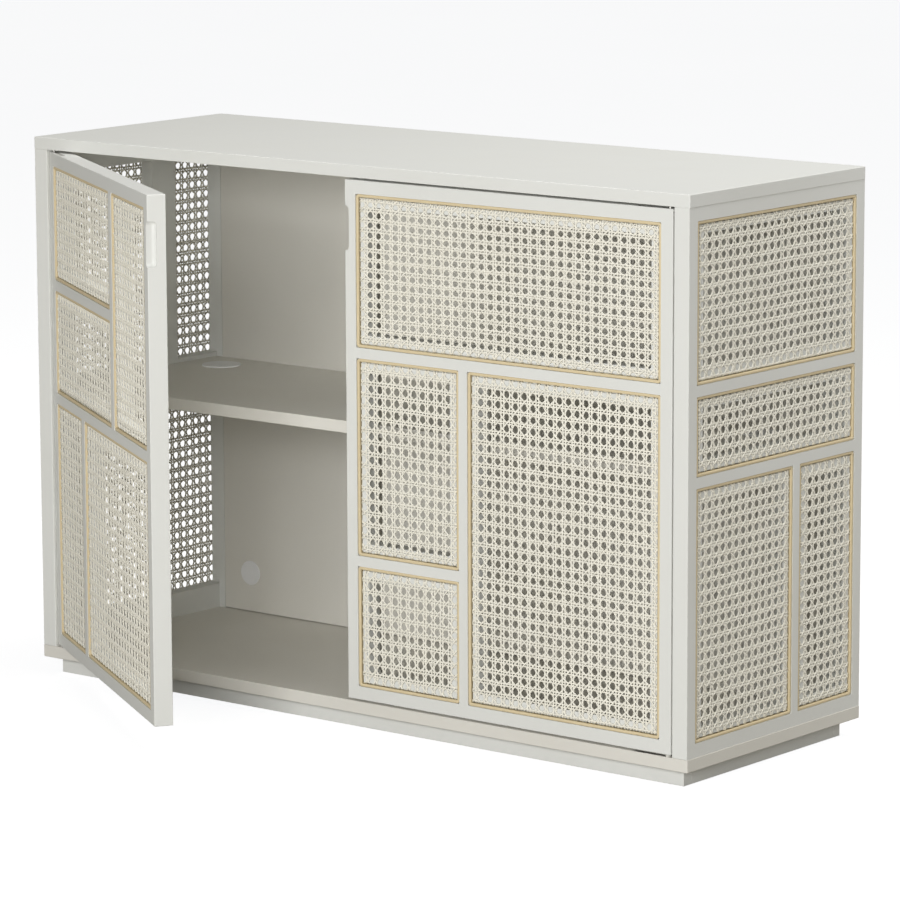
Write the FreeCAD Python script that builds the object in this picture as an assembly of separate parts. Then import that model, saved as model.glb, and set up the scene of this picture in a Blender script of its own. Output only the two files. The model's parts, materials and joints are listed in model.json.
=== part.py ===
import FreeCAD, Part
import os

# A shoe cabinet: two inset doors and two side frames, each a routed board filled with cane sheets.
# Millimetres, +Z up, the front faces -Y. The origin is on the floor, under the middle of the cabinet,
# on the foot of the plinth's cross rail. The left door stands open, and all else is at rest and shut.

V = FreeCAD.Vector
X_AXIS = V(1, 0, 0)
Y_AXIS = V(0, 1, 0)
Z_AXIS = V(0, 0, 1)

# ---- overall sizes
WIDTH = 1200.0
DEPTH = 418.0
HEIGHT = 814.0

# ---- board thicknesses
TOP_THICK = 18.0
BOTTOM_THICK = 18.0
SIDE_THICK = 25.0
BOARD_OVERHANG = 0.8
DOOR_THICK = 27.0
SHELF_THICK = 18.0
BACK_THICK = 12.0
CORNER_ROUND = 2.0
EDGE_ROUND = 1.2
SMALL_ROUND = 0.6
SEAM_ROUND = 0.5

# ---- plinth
PLINTH_HEIGHT = 25.0
PLINTH_THICK = 18.0
PLINTH_INSET = 20.0

# ---- back panel and its battens
BACK_INSET = 46.0
BATTEN_WIDTH = 12.0
BATTEN_DEPTH = 30.0
PANEL_END_GAP = 1.5
PANEL_SIDE_GAP = 1.0
TONGUE_THICK = 4.0
TONGUE_LENGTH = 5.5
TONGUE_FREE = 0.15

# ---- gaps round the doors
DOOR_SIDE_GAP = 2.0
DOOR_TOP_GAP = 3.0
DOOR_BOTTOM_GAP = 3.0
DOOR_MIDDLE_GAP = 3.0
LEFT_DOOR_OPEN = 33.0

# ---- routed frames: each panel has a rebate, whose ledge the cane lies on, and a groove round it
BORDER = 19.4
BAR = 15.4
REBATE = 3.4
LEDGE = 18.0
GROOVE_WIDTH = 6.6
GROOVE_DEPTH = 4.0
REBATE_ROUND = 1.6
WINDOW_ROUND = 4.0

# ---- cane sheets, whose edges turn down into the groove, and the reed that holds them there
CANE_THICK = 1.7
CANE_LIP = 1.7
REED_BELOW_FACE = 0.5
REED_FREE = 0.1
REED_ROUND = 0.9

# ---- panel layout of the doors: the panels that set it, and the others take what is left
LEFT_UPPER_ROW = 170.0
LEFT_MIDDLE_ROW = 154.8
LEFT_LOW_NARROW = 152.4
LEFT_TALL_COLUMN = 183.9
RIGHT_TOP_ROW = 218.2
RIGHT_LOW_ROW = 175.0
RIGHT_NARROW_COLUMN = 184.3

# ---- panel layout of the side frames
SIDE_LOW_ROW = 351.6
SIDE_BAND_ROW = 109.6
SIDE_REAR_COLUMN = 134.7

# ---- finger scoops in the doors' free edges
SCOOP_LENGTH = 64.0
SCOOP_IN = 7.5
SCOOP_BACK = 13.5
SCOOP_ROUND = 6.5
SCOOP_BELOW_TOP = 37.0

# ---- centre post, which both doors close against, with a dowel in each end and a screw in its foot
POST_THICK = 18.0
POST_DEPTH = 40.0
POST_DOWEL_IN = 11.0
POST_SCREW_IN = 27.0

# ---- shelf: its end pins sit in the bar over the lowest row of the side frames
SHELF_OVER_ROW = 9.5
SHELF_DOOR_GAP = 3.0
SHELF_END_GAP = 0.5
SHELF_POST_GAP = 0.5
SHELF_PIN_R = 2.5
SHELF_PIN_IN = 8.0
SHELF_PIN_OUT = 10.0
SHELF_PIN_INSET = 45.0
SHELF_PIN_FREE = 0.1
SHELF_PIN_BEVEL = 0.4

# ---- cable caps, in the shelf and in the back panel
SHELF_CAP_HOLE_R = 25.0
SHELF_CAP_LIP = 5.0
SHELF_CAP_FROM_SIDE = 69.0
SHELF_CAP_FROM_BACK = 66.0
BACK_CAP_HOLE_R = 15.0
BACK_CAP_LIP = 4.0
BACK_CAP_FROM_SIDE = 66.0
BACK_CAP_UP = 62.0
CAP_THICK = 1.8
CAP_WALL = 1.8
CAP_COLLAR = 6.0
CAP_FREE = 0.1
CAP_ROUND = 0.8

# ---- pivot hinges
PIVOT_IN = 8.0
PIVOT_BACK = 5.5
PIVOT_R = 2.0
PIVOT_RUN = 0.05
PIVOT_CLEAR = 0.4
PIVOT_DEPTH = 10.0
HINGE_WIDTH = 7.0
HINGE_LENGTH = 60.0
HINGE_THICK = 2.0
HINGE_LET_IN = 0.1
HINGE_SCREW_INS = (24.0, 46.0)
WASHER_R = 3.4
WASHER_FREE = 0.05

# ---- magnets in the centre post's front edge, and the steel plates that they hold
MAGNET_R = 3.0
MAGNET_LENGTH = 12.0
MAGNET_FREE = 0.1
MAGNET_IN = 4.5
MAGNET_INSET = 180.0
MAGNET_BEVEL = 0.3
STRIKE_WIDTH = 13.0
STRIKE_HEIGHT = 42.0
STRIKE_THICK = 1.2
STRIKE_EDGE = 1.5
STRIKE_ROUND = 1.5
STRIKE_SCREW_OUT = 14.0
STRIKE_GAP = 0.4

# ---- fasteners: radius of the head, radius of the shank, length
# (the cross recess in a head is given by the head's radius and height)
DRIVE_ARM = 0.55
DRIVE_SLOT = 0.14
DRIVE_DEEP = 0.6
HINGE_SCREW = (2.6, 1.4, 12.0)
STRIKE_SCREW = (2.7, 1.5, 14.0)
BACK_SCREW = (3.4, 1.8, BACK_THICK + 22.0)
BATTEN_SCREW = (3.4, 1.8, BATTEN_WIDTH + 11.0)
PLINTH_SCREW = (3.6, 2.0, PLINTH_HEIGHT + 12.0)
CARCASS_SCREW = (4.6, 2.6, BOTTOM_THICK + 26.0)
SCREW_FREE = 0.1
SCREW_SINK = 0.5
SCREW_INSET = 75.0
BACK_SCREW_OUT = 380.0
PLINTH_SCREW_INSETS = (40.0, 400.0)
PLINTH_RAIL_SCREW_Y = 90.0
CARCASS_SCREW_INSET = 95.0
DOWEL_R = 4.0
DOWEL_IN_BOARD = 12.0
DOWEL_IN_UPRIGHT = 18.0
DOWEL_FREE = 0.1
DOWEL_INSET = 50.0
DOWEL_BEVEL = 0.8

# ---- places that follow from those sizes
FRONT = -DEPTH / 2
REAR = DEPTH / 2
OUTER_X = WIDTH / 2
SIDE_X = OUTER_X - BOARD_OVERHANG
INNER_X = SIDE_X - SIDE_THICK
FLOOR = PLINTH_HEIGHT + BOTTOM_THICK
CEILING = HEIGHT - TOP_THICK
SIDE_HEIGHT = CEILING - FLOOR
BACK_PLANE = REAR - BACK_INSET
PANEL_REAR = BACK_PLANE + BACK_THICK
BATTEN_X = INNER_X - BATTEN_WIDTH
PANEL_X = BATTEN_X - PANEL_SIDE_GAP
DOOR_WIDTH = INNER_X - DOOR_SIDE_GAP - DOOR_MIDDLE_GAP / 2
DOOR_BOTTOM = FLOOR + DOOR_BOTTOM_GAP
DOOR_HEIGHT = CEILING - DOOR_TOP_GAP - DOOR_BOTTOM
DOOR_TOP = DOOR_BOTTOM + DOOR_HEIGHT
DOOR_INNER_Y = FRONT + DOOR_THICK
HINGE_EDGE_X = INNER_X - DOOR_SIDE_GAP
PIVOT_X = HINGE_EDGE_X - PIVOT_IN
PIVOT_Y = FRONT + PIVOT_BACK
SHELF_BOTTOM = FLOOR + BORDER + SIDE_LOW_ROW + SHELF_OVER_ROW
SHELF_TOP = SHELF_BOTTOM + SHELF_THICK
SHELF_FRONT = DOOR_INNER_Y + SHELF_DOOR_GAP
SHELF_REAR = BACK_PLANE
STRIKE_FACE_Y = DOOR_INNER_Y + STRIKE_THICK
SIDE_MIDDLES = (SIDE_X - SIDE_THICK / 2, SIDE_THICK / 2 - SIDE_X)
SIDES = ("left", "right")


# ---- general shapes

def block(low, high):
    """A box between two corners, given as (x, y, z)."""
    size = [b - a for a, b in zip(low, high)]
    return Part.makeBox(*size, V(*low))


def eased(shape, radius):
    """The shape with all its edges rounded."""
    return shape.makeFillet(radius, shape.Edges)


def edges_along(shape, axis):
    """The straight edges that run along an axis."""
    found = []
    for edge in shape.Edges:
        run = edge.Vertexes[-1].Point - edge.Vertexes[0].Point
        if run.cross(axis).Length < 1e-6:
            found.append(edge)
    return found


def edges_at(shape, height):
    """The edges that lie wholly at a height."""
    boxes = [(edge, edge.BoundBox) for edge in shape.Edges]
    return [edge for edge, box in boxes if max(abs(box.ZMin - height), abs(box.ZMax - height)) < 1e-6]


def long_edges(shape, axis):
    """The straight edges that run along an axis, but for the short ones of a rounded end."""
    edges = edges_along(shape, axis)
    longest = max(edge.Length for edge in edges)
    return [edge for edge in edges if edge.Length > longest / 2]


def round_edges(shape):
    """The edges that are whole circles."""
    return [edge for edge in shape.Edges if edge.Closed]


def pointed(shape, place, direction):
    """The shape, made along +Z from the origin, moved to a place and turned to a direction."""
    made = shape.copy()
    made.Placement = FreeCAD.Placement(place, FreeCAD.Rotation(Z_AXIS, direction))
    return made


def mirrored(shape):
    """The shape's mirror image across the middle of the cabinet."""
    return shape.mirror(V(0, 0, 0), X_AXIS)


def both(shape):
    """A right-hand piece and its mirror image."""
    return [shape, mirrored(shape)]


def on_side(shape, side):
    """A shape made for the right side, or its mirror image for the left."""
    return shape if side == "right" else mirrored(shape)


# ---- fasteners

def screw(kind):
    """A countersunk screw along +Z, with the face of its head at the origin."""
    head_r, shank_r, length = kind
    head_h = head_r - shank_r
    point_h = 2 * shank_r
    head = Part.makeCone(head_r, shank_r, head_h)
    shank = Part.makeCylinder(shank_r, length - head_h - point_h, V(0, 0, head_h))
    point = Part.makeCone(shank_r, 0, point_h, V(0, 0, length - point_h))
    made = head.fuse([shank, point]).removeSplitter()
    arm = DRIVE_ARM * head_r
    slot = DRIVE_SLOT * head_r
    deep = DRIVE_DEEP * head_h
    cross = [block((-arm, -slot, -1), (arm, slot, deep)), block((-slot, -arm, -1), (slot, arm, deep))]
    return made.cut(cross)


def screw_hole(kind):
    """What a screw needs cut away, from a little above its head to just past its point."""
    head_r, shank_r, length = kind
    head_h = head_r - shank_r
    above = Part.makeCylinder(head_r + SCREW_FREE, SCREW_SINK + 1, V(0, 0, -SCREW_SINK - 1))
    head = Part.makeCone(head_r + SCREW_FREE, shank_r + SCREW_FREE, head_h)
    shank = Part.makeCylinder(shank_r + SCREW_FREE, length + 1 - head_h, V(0, 0, head_h))
    return above.fuse([head, shank])


def dowel_start(place):
    """Where a dowel begins, in the lower of the two pieces; place is the joint between them."""
    return place - V(0, 0, DOWEL_IN_BOARD if place.z == FLOOR else DOWEL_IN_UPRIGHT)


def dowel(place):
    """A wooden dowel that pins an upright to the top or the bottom board."""
    made = Part.makeCylinder(DOWEL_R, DOWEL_IN_BOARD + DOWEL_IN_UPRIGHT, dowel_start(place))
    return made.makeChamfer(DOWEL_BEVEL, round_edges(made))


def dowel_hole(place):
    """The hole for a dowel, through the joint."""
    start = dowel_start(place) - V(0, 0, DOWEL_FREE)
    length = DOWEL_IN_BOARD + DOWEL_IN_UPRIGHT + 2 * DOWEL_FREE
    return Part.makeCylinder(DOWEL_R + DOWEL_FREE, length, start)


def dowel_places():
    """Where the side frames and the centre post are dowelled to the top and bottom boards."""
    spots = [(x, y) for x in SIDE_MIDDLES for y in (FRONT + DOWEL_INSET, BACK_PLANE - DOWEL_INSET)]
    spots.append((0, SHELF_FRONT + POST_DOWEL_IN))
    return [V(x, y, z) for x, y in spots for z in (FLOOR, CEILING)]


def carcass_screw_places():
    """Where long screws go up through the bottom board into the uprights."""
    front = FRONT + CARCASS_SCREW_INSET
    rear = BACK_PLANE - CARCASS_SCREW_INSET
    spots = [(x, y) for x in SIDE_MIDDLES for y in (front, rear)]
    spots.append((0, SHELF_FRONT + POST_SCREW_IN))
    return [V(x, y, PLINTH_HEIGHT + SCREW_SINK) for x, y in spots]


def plinth_screw_places():
    """Where the plinth's boards are screwed up into the bottom board."""
    end = OUTER_X - PLINTH_INSET
    long_y = REAR - PLINTH_INSET - PLINTH_THICK / 2
    side_x = end - PLINTH_THICK / 2
    places = [(side_x, 0), (-side_x, 0), (0, PLINTH_RAIL_SCREW_Y), (0, -PLINTH_RAIL_SCREW_Y)]
    for inset in PLINTH_SCREW_INSETS:
        places += [(x, y) for x in (inset - end, end - inset) for y in (-long_y, long_y)]
    return [V(x, y, SCREW_SINK) for x, y in places]


def upright_screw_heights():
    """Three heights up an upright: near the floor, midway and near the ceiling."""
    return (FLOOR + SCREW_INSET, (FLOOR + CEILING) / 2, CEILING - SCREW_INSET)


def batten_screw_places():
    """Where the right batten is screwed to its side frame, behind the back panel."""
    y = (PANEL_REAR + BACK_PLANE + BATTEN_DEPTH) / 2
    return [V(BATTEN_X + SCREW_SINK, y, z) for z in upright_screw_heights()]


def back_screw_places():
    """Where the back panel is screwed to the shelf's rear edge."""
    middle = (SHELF_BOTTOM + SHELF_TOP) / 2
    return [V(x, PANEL_REAR - SCREW_SINK, middle) for x in (-BACK_SCREW_OUT, 0, BACK_SCREW_OUT)]


# ---- routed frames filled with cane

def panel(name, left, bottom, right, top):
    """The outline of one cane panel on a frame's face."""
    return {"name": name, "low": (left, bottom), "high": (right, top)}


def inset_block(outline, inset, front, back):
    """A box behind an outline, drawn in from it on all four sides, between two depths."""
    (u0, v0), (u1, v1) = outline["low"], outline["high"]
    made = block((u0 + inset, front, v0 + inset), (u1 - inset, back, v1 - inset))
    round_by = WINDOW_ROUND if inset == LEDGE else max(REBATE_ROUND - inset, 0)
    return made.makeFillet(round_by, edges_along(made, Y_AXIS)) if round_by else made


def inset_ring(outline, outer, inner, front, back):
    """A ring behind an outline, between two insets from it and between two depths."""
    return inset_block(outline, outer, front, back).cut(inset_block(outline, inner, front - 1, back + 1))


def routed(board, outlines):
    """A board whose face is at y = 0, with a rebate, a groove and a window for each cane panel."""
    back = board.BoundBox.YMax + 1
    cuts = []
    for outline in outlines:
        cuts += [inset_block(outline, 0, -1, REBATE), inset_block(outline, LEDGE, 0, back)]
        cuts.append(inset_ring(outline, 0, GROOVE_WIDTH, 0, REBATE + GROOVE_DEPTH))
    return board.cut(cuts)


def cane_sheet(outline):
    """One cane sheet, lying on its ledge, with its edges turned down into the groove."""
    front = REBATE - CANE_THICK
    bend = GROOVE_WIDTH - CANE_LIP
    lip = inset_ring(outline, bend, GROOVE_WIDTH, front, REBATE + GROOVE_DEPTH - REED_FREE)
    return inset_block(outline, bend, front, REBATE).fuse(lip).removeSplitter()


def reed_ring(outline):
    """The reed round one panel, pressed into the groove against the cane's edge."""
    back = REBATE + GROOVE_DEPTH - REED_FREE
    inner = GROOVE_WIDTH - CANE_LIP - REED_FREE
    ring = inset_ring(outline, REED_FREE, inner, REED_BELOW_FACE, back)
    face_edges = [edge for edge in ring.Edges if edge.BoundBox.YMax < REED_BELOW_FACE + 1e-6]
    return ring.makeFillet(REED_ROUND, face_edges)


def left_door_outlines():
    """Five panels: two stacked beside a tall one, over a narrow one and a wide one."""
    top = DOOR_HEIGHT - BORDER
    right = DOOR_WIDTH - BORDER
    upper = top - LEFT_UPPER_ROW
    middle = upper - BAR - LEFT_MIDDLE_ROW
    column = right - LEFT_TALL_COLUMN
    narrow = BORDER + LEFT_LOW_NARROW
    return [
        panel("low_narrow", BORDER, BORDER, narrow, middle - BAR),
        panel("low_wide", narrow + BAR, BORDER, right, middle - BAR),
        panel("middle", BORDER, middle, column - BAR, upper - BAR),
        panel("upper", BORDER, upper, column - BAR, top),
        panel("tall", column, middle, right, top),
    ]


def right_door_outlines():
    """Four panels: one across the top, and two stacked beside a tall one under it."""
    top = DOOR_HEIGHT - BORDER
    right = DOOR_WIDTH - BORDER
    upper = top - RIGHT_TOP_ROW
    low_top = BORDER + RIGHT_LOW_ROW
    narrow = BORDER + RIGHT_NARROW_COLUMN
    return [
        panel("low", BORDER, BORDER, narrow, low_top),
        panel("middle", BORDER, low_top + BAR, narrow, upper - BAR),
        panel("tall", narrow + BAR, BORDER, right, upper - BAR),
        panel("top", BORDER, upper, right, top),
    ]


def right_side_outlines():
    """Four panels, from the front edge: two below, a low band over them and a wide one on top."""
    low_top = BORDER + SIDE_LOW_ROW
    band_top = low_top + BAR + SIDE_BAND_ROW
    rear = DEPTH - BORDER
    split = rear - SIDE_REAR_COLUMN
    return [
        panel("low_front", BORDER, BORDER, split - BAR, low_top),
        panel("low_rear", split, BORDER, rear, low_top),
        panel("band", BORDER, low_top + BAR, rear, band_top),
        panel("top", BORDER, band_top + BAR, rear, SIDE_HEIGHT - BORDER),
    ]


def left_side_outlines():
    """Three panels, from the rear edge: one across below, and two tall ones over it."""
    low_top = BORDER + SIDE_LOW_ROW
    split = BORDER + SIDE_REAR_COLUMN
    front = DEPTH - BORDER
    top = SIDE_HEIGHT - BORDER
    return [
        panel("low", BORDER, BORDER, front, low_top),
        panel("top_rear", BORDER, low_top + BAR, split, top),
        panel("top_front", split + BAR, low_top + BAR, front, top),
    ]


def placed(shape, corner, turn):
    """A shape from a frame's own axes, turned about +Z and moved to the frame's lower corner."""
    made = shape.copy()
    made.Placement = FreeCAD.Placement(V(*corner), FreeCAD.Rotation(Z_AXIS, turn))
    return made


FRAMES = {
    "door_left": (left_door_outlines(), (-HINGE_EDGE_X, FRONT, DOOR_BOTTOM), 0),
    "door_right": (right_door_outlines(), (DOOR_MIDDLE_GAP / 2, FRONT, DOOR_BOTTOM), 0),
    "side_left": (left_side_outlines(), (-SIDE_X, REAR, FLOOR), -90),
    "side_right": (right_side_outlines(), (SIDE_X, FRONT, FLOOR), 90),
}


def cane_sheets(frame):
    """Each cane sheet of a frame, by its node's name."""
    outlines, corner, turn = FRAMES[frame]
    return {f"cane_{frame}_{o['name']}": placed(cane_sheet(o), corner, turn) for o in outlines}


def reed_rings(frame):
    """The reed rings of a frame, one for each cane sheet."""
    outlines, corner, turn = FRAMES[frame]
    return [placed(reed_ring(o), corner, turn) for o in outlines]


# ---- hinges

def hinge_ends():
    """The two ends of a door: the face that its plate is let into, and which way is into the board."""
    return ((FLOOR, DOOR_BOTTOM, -1), (CEILING, DOOR_TOP, 1))


def hinge_strip(length, depth, width, face, into):
    """A flat strip with a round end at the pivot, let into a face to a depth, at the right door."""
    low, high = sorted((face, face + into * depth))
    far = PIVOT_X + width / 2 - length
    bar = block((far, PIVOT_Y - width / 2, low), (PIVOT_X, PIVOT_Y + width / 2, high))
    end = Part.makeCylinder(width / 2, depth, V(PIVOT_X, PIVOT_Y, low))
    return bar.fuse(end).removeSplitter()


def hinge_screw_places(face):
    """Where a hinge strip's screws sit at the right door."""
    return [V(PIVOT_X - inset, PIVOT_Y, face) for inset in HINGE_SCREW_INS]


def hinge_plate(board_face, door_face, into):
    """The plate in the cabinet's board, with the pin that the door turns on."""
    plate = hinge_strip(HINGE_LENGTH, HINGE_THICK, HINGE_WIDTH, board_face, into)
    reach = abs(door_face - board_face) + PIVOT_DEPTH
    root = V(PIVOT_X, PIVOT_Y, board_face + into * HINGE_THICK)
    pin = Part.makeCylinder(PIVOT_R, HINGE_THICK + reach, root, V(0, 0, -into))
    holes = [pointed(screw_hole(HINGE_SCREW), p, V(0, 0, into)) for p in hinge_screw_places(board_face)]
    return plate.fuse(pin).cut(holes).removeSplitter()


def hinge_leaf(door_face, into):
    """The leaf in the door's end, with the hole that runs on the pin. into points at the cabinet's board."""
    leaf = hinge_strip(HINGE_LENGTH, HINGE_THICK, HINGE_WIDTH, door_face, -into)
    low = door_face - HINGE_THICK * 2
    bore = Part.makeCylinder(PIVOT_R + PIVOT_RUN, HINGE_THICK * 4, V(PIVOT_X, PIVOT_Y, low))
    holes = [pointed(screw_hole(HINGE_SCREW), p, V(0, 0, -into)) for p in hinge_screw_places(door_face)]
    return leaf.cut([bore] + holes)


def hinge_pocket(face, into):
    """The shallow pocket for a strip and its screws in a board's face or a door's end."""
    width = HINGE_WIDTH + 2 * HINGE_LET_IN
    length = HINGE_LENGTH + 2 * HINGE_LET_IN
    strip = hinge_strip(length, HINGE_THICK, width, face, into)
    holes = [pointed(screw_hole(HINGE_SCREW), p, V(0, 0, into)) for p in hinge_screw_places(face)]
    return strip.fuse(holes)


def pivot_hole(door_face, into):
    """The hole in a door's end for the pin's tip, wider than the pin."""
    depth = PIVOT_DEPTH + 1
    return Part.makeCylinder(PIVOT_R + PIVOT_CLEAR, depth, V(PIVOT_X, PIVOT_Y, door_face), V(0, 0, -into))


def hinge_screws(faces):
    """The screws of the strips at these faces, each given with the way that its screws point."""
    return [pointed(screw(HINGE_SCREW), p, V(0, 0, way))
            for face, way in faces for p in hinge_screw_places(face)]


def hinge_washer():
    """The washer that carries the right door on its lower plate."""
    height = DOOR_BOTTOM_GAP - WASHER_FREE
    foot = V(PIVOT_X, PIVOT_Y, FLOOR)
    return Part.makeCylinder(WASHER_R, height, foot).cut(Part.makeCylinder(PIVOT_R + PIVOT_RUN, height, foot))


# ---- magnets and strike plates

def magnet_places():
    """Where the right door's two magnets enter the centre post's front edge."""
    return [V(MAGNET_IN, SHELF_FRONT, z) for z in (DOOR_BOTTOM + MAGNET_INSET, DOOR_TOP - MAGNET_INSET)]


def magnet(place):
    """A rod magnet in the post's edge, that stands out of it to just short of the strike plate."""
    front = STRIKE_FACE_Y + STRIKE_GAP
    rod = Part.makeCylinder(MAGNET_R, MAGNET_LENGTH, V(place.x, front, place.z), Y_AXIS)
    return rod.makeChamfer(MAGNET_BEVEL, round_edges(rod))


def magnet_hole(place):
    """The blind hole for one magnet."""
    depth = STRIKE_FACE_Y + STRIKE_GAP + MAGNET_LENGTH + MAGNET_FREE - place.y
    return Part.makeCylinder(MAGNET_R + MAGNET_FREE, depth, place, Y_AXIS)


def strike_places():
    """The middle of each strike plate's outer face, on the right door's inner face."""
    x = DOOR_MIDDLE_GAP / 2 + STRIKE_EDGE + STRIKE_WIDTH / 2
    return [V(x, STRIKE_FACE_Y, place.z) for place in magnet_places()]


def strike_plate(place):
    """A steel plate that a magnet holds, with a screw above and one below the magnet."""
    low = (place.x - STRIKE_WIDTH / 2, DOOR_INNER_Y, place.z - STRIKE_HEIGHT / 2)
    high = (place.x + STRIKE_WIDTH / 2, STRIKE_FACE_Y, place.z + STRIKE_HEIGHT / 2)
    plate = block(low, high)
    plate = plate.makeFillet(STRIKE_ROUND, edges_along(plate, Y_AXIS))
    return plate.cut([pointed(screw_hole(STRIKE_SCREW), p, -Y_AXIS) for p in strike_screw_places(place)])


def strike_screw_places(place):
    """Where a strike plate's two screws sit."""
    return [place + V(0, 0, sign * STRIKE_SCREW_OUT) for sign in (-1, 1)]


# ---- doors

def finger_scoop():
    """The rounded hollow in a free edge, in a door's own axes with that edge at u = 0, door towards +u."""
    top = DOOR_HEIGHT - SCOOP_BELOW_TOP
    hollow = block((-20, -20, top - SCOOP_LENGTH), (SCOOP_IN, SCOOP_BACK, top))
    inner = [e for e in hollow.Edges
             if (e.BoundBox.XMin > SCOOP_IN - 1e-6) + (e.BoundBox.YMin > SCOOP_BACK - 1e-6)
             + (e.BoundBox.ZMin > top - 1e-6 or e.BoundBox.ZMax < top - SCOOP_LENGTH + 1e-6) == 2]
    return hollow.makeFillet(SCOOP_ROUND, inner)


def door_frame(side):
    """A door's frame, closed, with its scoop, hinge pockets, pivot holes and strike screw holes."""
    outlines, corner, turn = FRAMES["door_" + side]
    board = eased(block((0, 0, 0), (DOOR_WIDTH, DOOR_THICK, DOOR_HEIGHT)), EDGE_ROUND)
    frame = placed(routed(board, outlines), corner, turn)
    cuts = [placed(finger_scoop(), (DOOR_MIDDLE_GAP / 2, FRONT, DOOR_BOTTOM), 0)]
    for _, door_face, into in hinge_ends():
        cuts.append(hinge_pocket(door_face, -into))
        cuts.append(pivot_hole(door_face, into))
    for place in strike_places():
        cuts += [pointed(screw_hole(STRIKE_SCREW), p, -Y_AXIS) for p in strike_screw_places(place)]
    return frame.cut([on_side(c, side) for c in cuts])


def opened(shape, side):
    """The left door's pieces stand open about its pivot, and the right door's stay shut."""
    if side == "right":
        return shape
    made = shape.copy()
    made.rotate(V(-PIVOT_X, PIVOT_Y, 0), Z_AXIS, -LEFT_DOOR_OPEN)
    return made


def door_nodes(side):
    """All the nodes of one door."""
    ends = hinge_ends()
    closed = {"door_frame_" + side: [door_frame(side)]}
    for name, sheet in cane_sheets("door_" + side).items():
        closed[name] = [sheet]
    closed["reed_door_" + side] = reed_rings("door_" + side)
    closed["hinge_leaves_" + side] = [on_side(hinge_leaf(face, into), side) for _, face, into in ends]
    screws = hinge_screws([(face, -into) for _, face, into in ends])
    closed["hinge_leaf_screws_" + side] = [on_side(s, side) for s in screws]
    strikes = strike_places()
    closed["strike_plates_" + side] = [on_side(strike_plate(c), side) for c in strikes]
    screws = [pointed(screw(STRIKE_SCREW), p, -Y_AXIS) for c in strikes for p in strike_screw_places(c)]
    closed["strike_screws_" + side] = [on_side(s, side) for s in screws]
    return {name: [opened(s, side) for s in solids] for name, solids in closed.items()}


# ---- carcass

def side_frame(side):
    """A side frame, with the holes for its dowels, screws and shelf pins."""
    outlines, corner, turn = FRAMES["side_" + side]
    board = block((0, 0, 0), (DEPTH, SIDE_THICK, SIDE_HEIGHT))
    ends = [e for e in edges_along(board, X_AXIS) if e.BoundBox.YMax < SIDE_THICK / 2]
    board = board.makeFillet(SEAM_ROUND, ends)
    board = board.makeFillet(EDGE_ROUND, long_edges(board, Z_AXIS))
    frame = placed(routed(board, outlines), corner, turn)
    cuts = [on_side(pin_hole(p, X_AXIS), side) for p in side_pin_places()]
    cuts += [on_side(pointed(screw_hole(BATTEN_SCREW), p, X_AXIS), side) for p in batten_screw_places()]
    return frame.cut(cuts + joint_holes())


def joint_holes():
    """Every hole for the dowels and long screws between the boards and the uprights."""
    holes = [dowel_hole(p) for p in dowel_places()]
    return holes + [pointed(screw_hole(CARCASS_SCREW), p, Z_AXIS) for p in carcass_screw_places()]


def carcass_board(inside, outside):
    """A board between two heights, well rounded but for its inside face, where the uprights meet it."""
    low, high = sorted((inside, outside))
    board = block((-OUTER_X, FRONT, low), (OUTER_X, REAR, high))
    board = board.makeFillet(CORNER_ROUND, edges_along(board, Z_AXIS))
    board = board.makeFillet(SEAM_ROUND, edges_at(board, inside))
    return board.makeFillet(EDGE_ROUND, edges_at(board, outside))


def top_board():
    """The top, with the hinge pockets in its underside."""
    board = carcass_board(CEILING, HEIGHT)
    return board.cut(joint_holes() + both(hinge_pocket(CEILING, 1)))


def bottom_board():
    """The bottom, with the hinge pockets in its upper face and the plinth's screws in its underside."""
    board = carcass_board(FLOOR, PLINTH_HEIGHT)
    screws = [pointed(screw_hole(PLINTH_SCREW), p, Z_AXIS) for p in plinth_screw_places()]
    return board.cut(joint_holes() + screws + both(hinge_pocket(FLOOR, -1)))


def centre_post():
    """The narrow upright at the front, behind the meeting edges of the doors."""
    half = POST_THICK / 2
    board = block((-half, SHELF_FRONT, FLOOR), (half, SHELF_FRONT + POST_DEPTH, CEILING))
    right = [pin_hole(*post_pin_end())] + [magnet_hole(p) for p in magnet_places()]
    return eased(board, SMALL_ROUND).cut(joint_holes() + [made for cut in right for made in both(cut)])


def side_pin_places():
    """Where the shelf's two right end pins enter the side frame."""
    z = SHELF_BOTTOM - SHELF_PIN_R
    return [V(INNER_X, y, z) for y in (SHELF_FRONT + SHELF_PIN_INSET, SHELF_REAR - SHELF_PIN_INSET)]


def post_pin_end():
    """Where the right middle pin enters the centre post, and which way it goes in."""
    return V(POST_THICK / 2, SHELF_FRONT + POST_DEPTH / 2, SHELF_BOTTOM - SHELF_PIN_R), -X_AXIS


def pin_hole(place, into):
    """The blind hole for one shelf pin."""
    return Part.makeCylinder(SHELF_PIN_R + SHELF_PIN_FREE, SHELF_PIN_IN + SHELF_PIN_FREE, place, into)


def shelf_pins():
    """The right half's three pins, half in the side frame and the post and half under the shelf."""
    made = []
    for p, into in [(place, X_AXIS) for place in side_pin_places()] + [post_pin_end()]:
        pin = Part.makeCylinder(SHELF_PIN_R, SHELF_PIN_IN + SHELF_PIN_OUT, p - into * SHELF_PIN_OUT, into)
        made.append(pin.makeChamfer(SHELF_PIN_BEVEL, round_edges(pin)))
    return made


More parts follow.
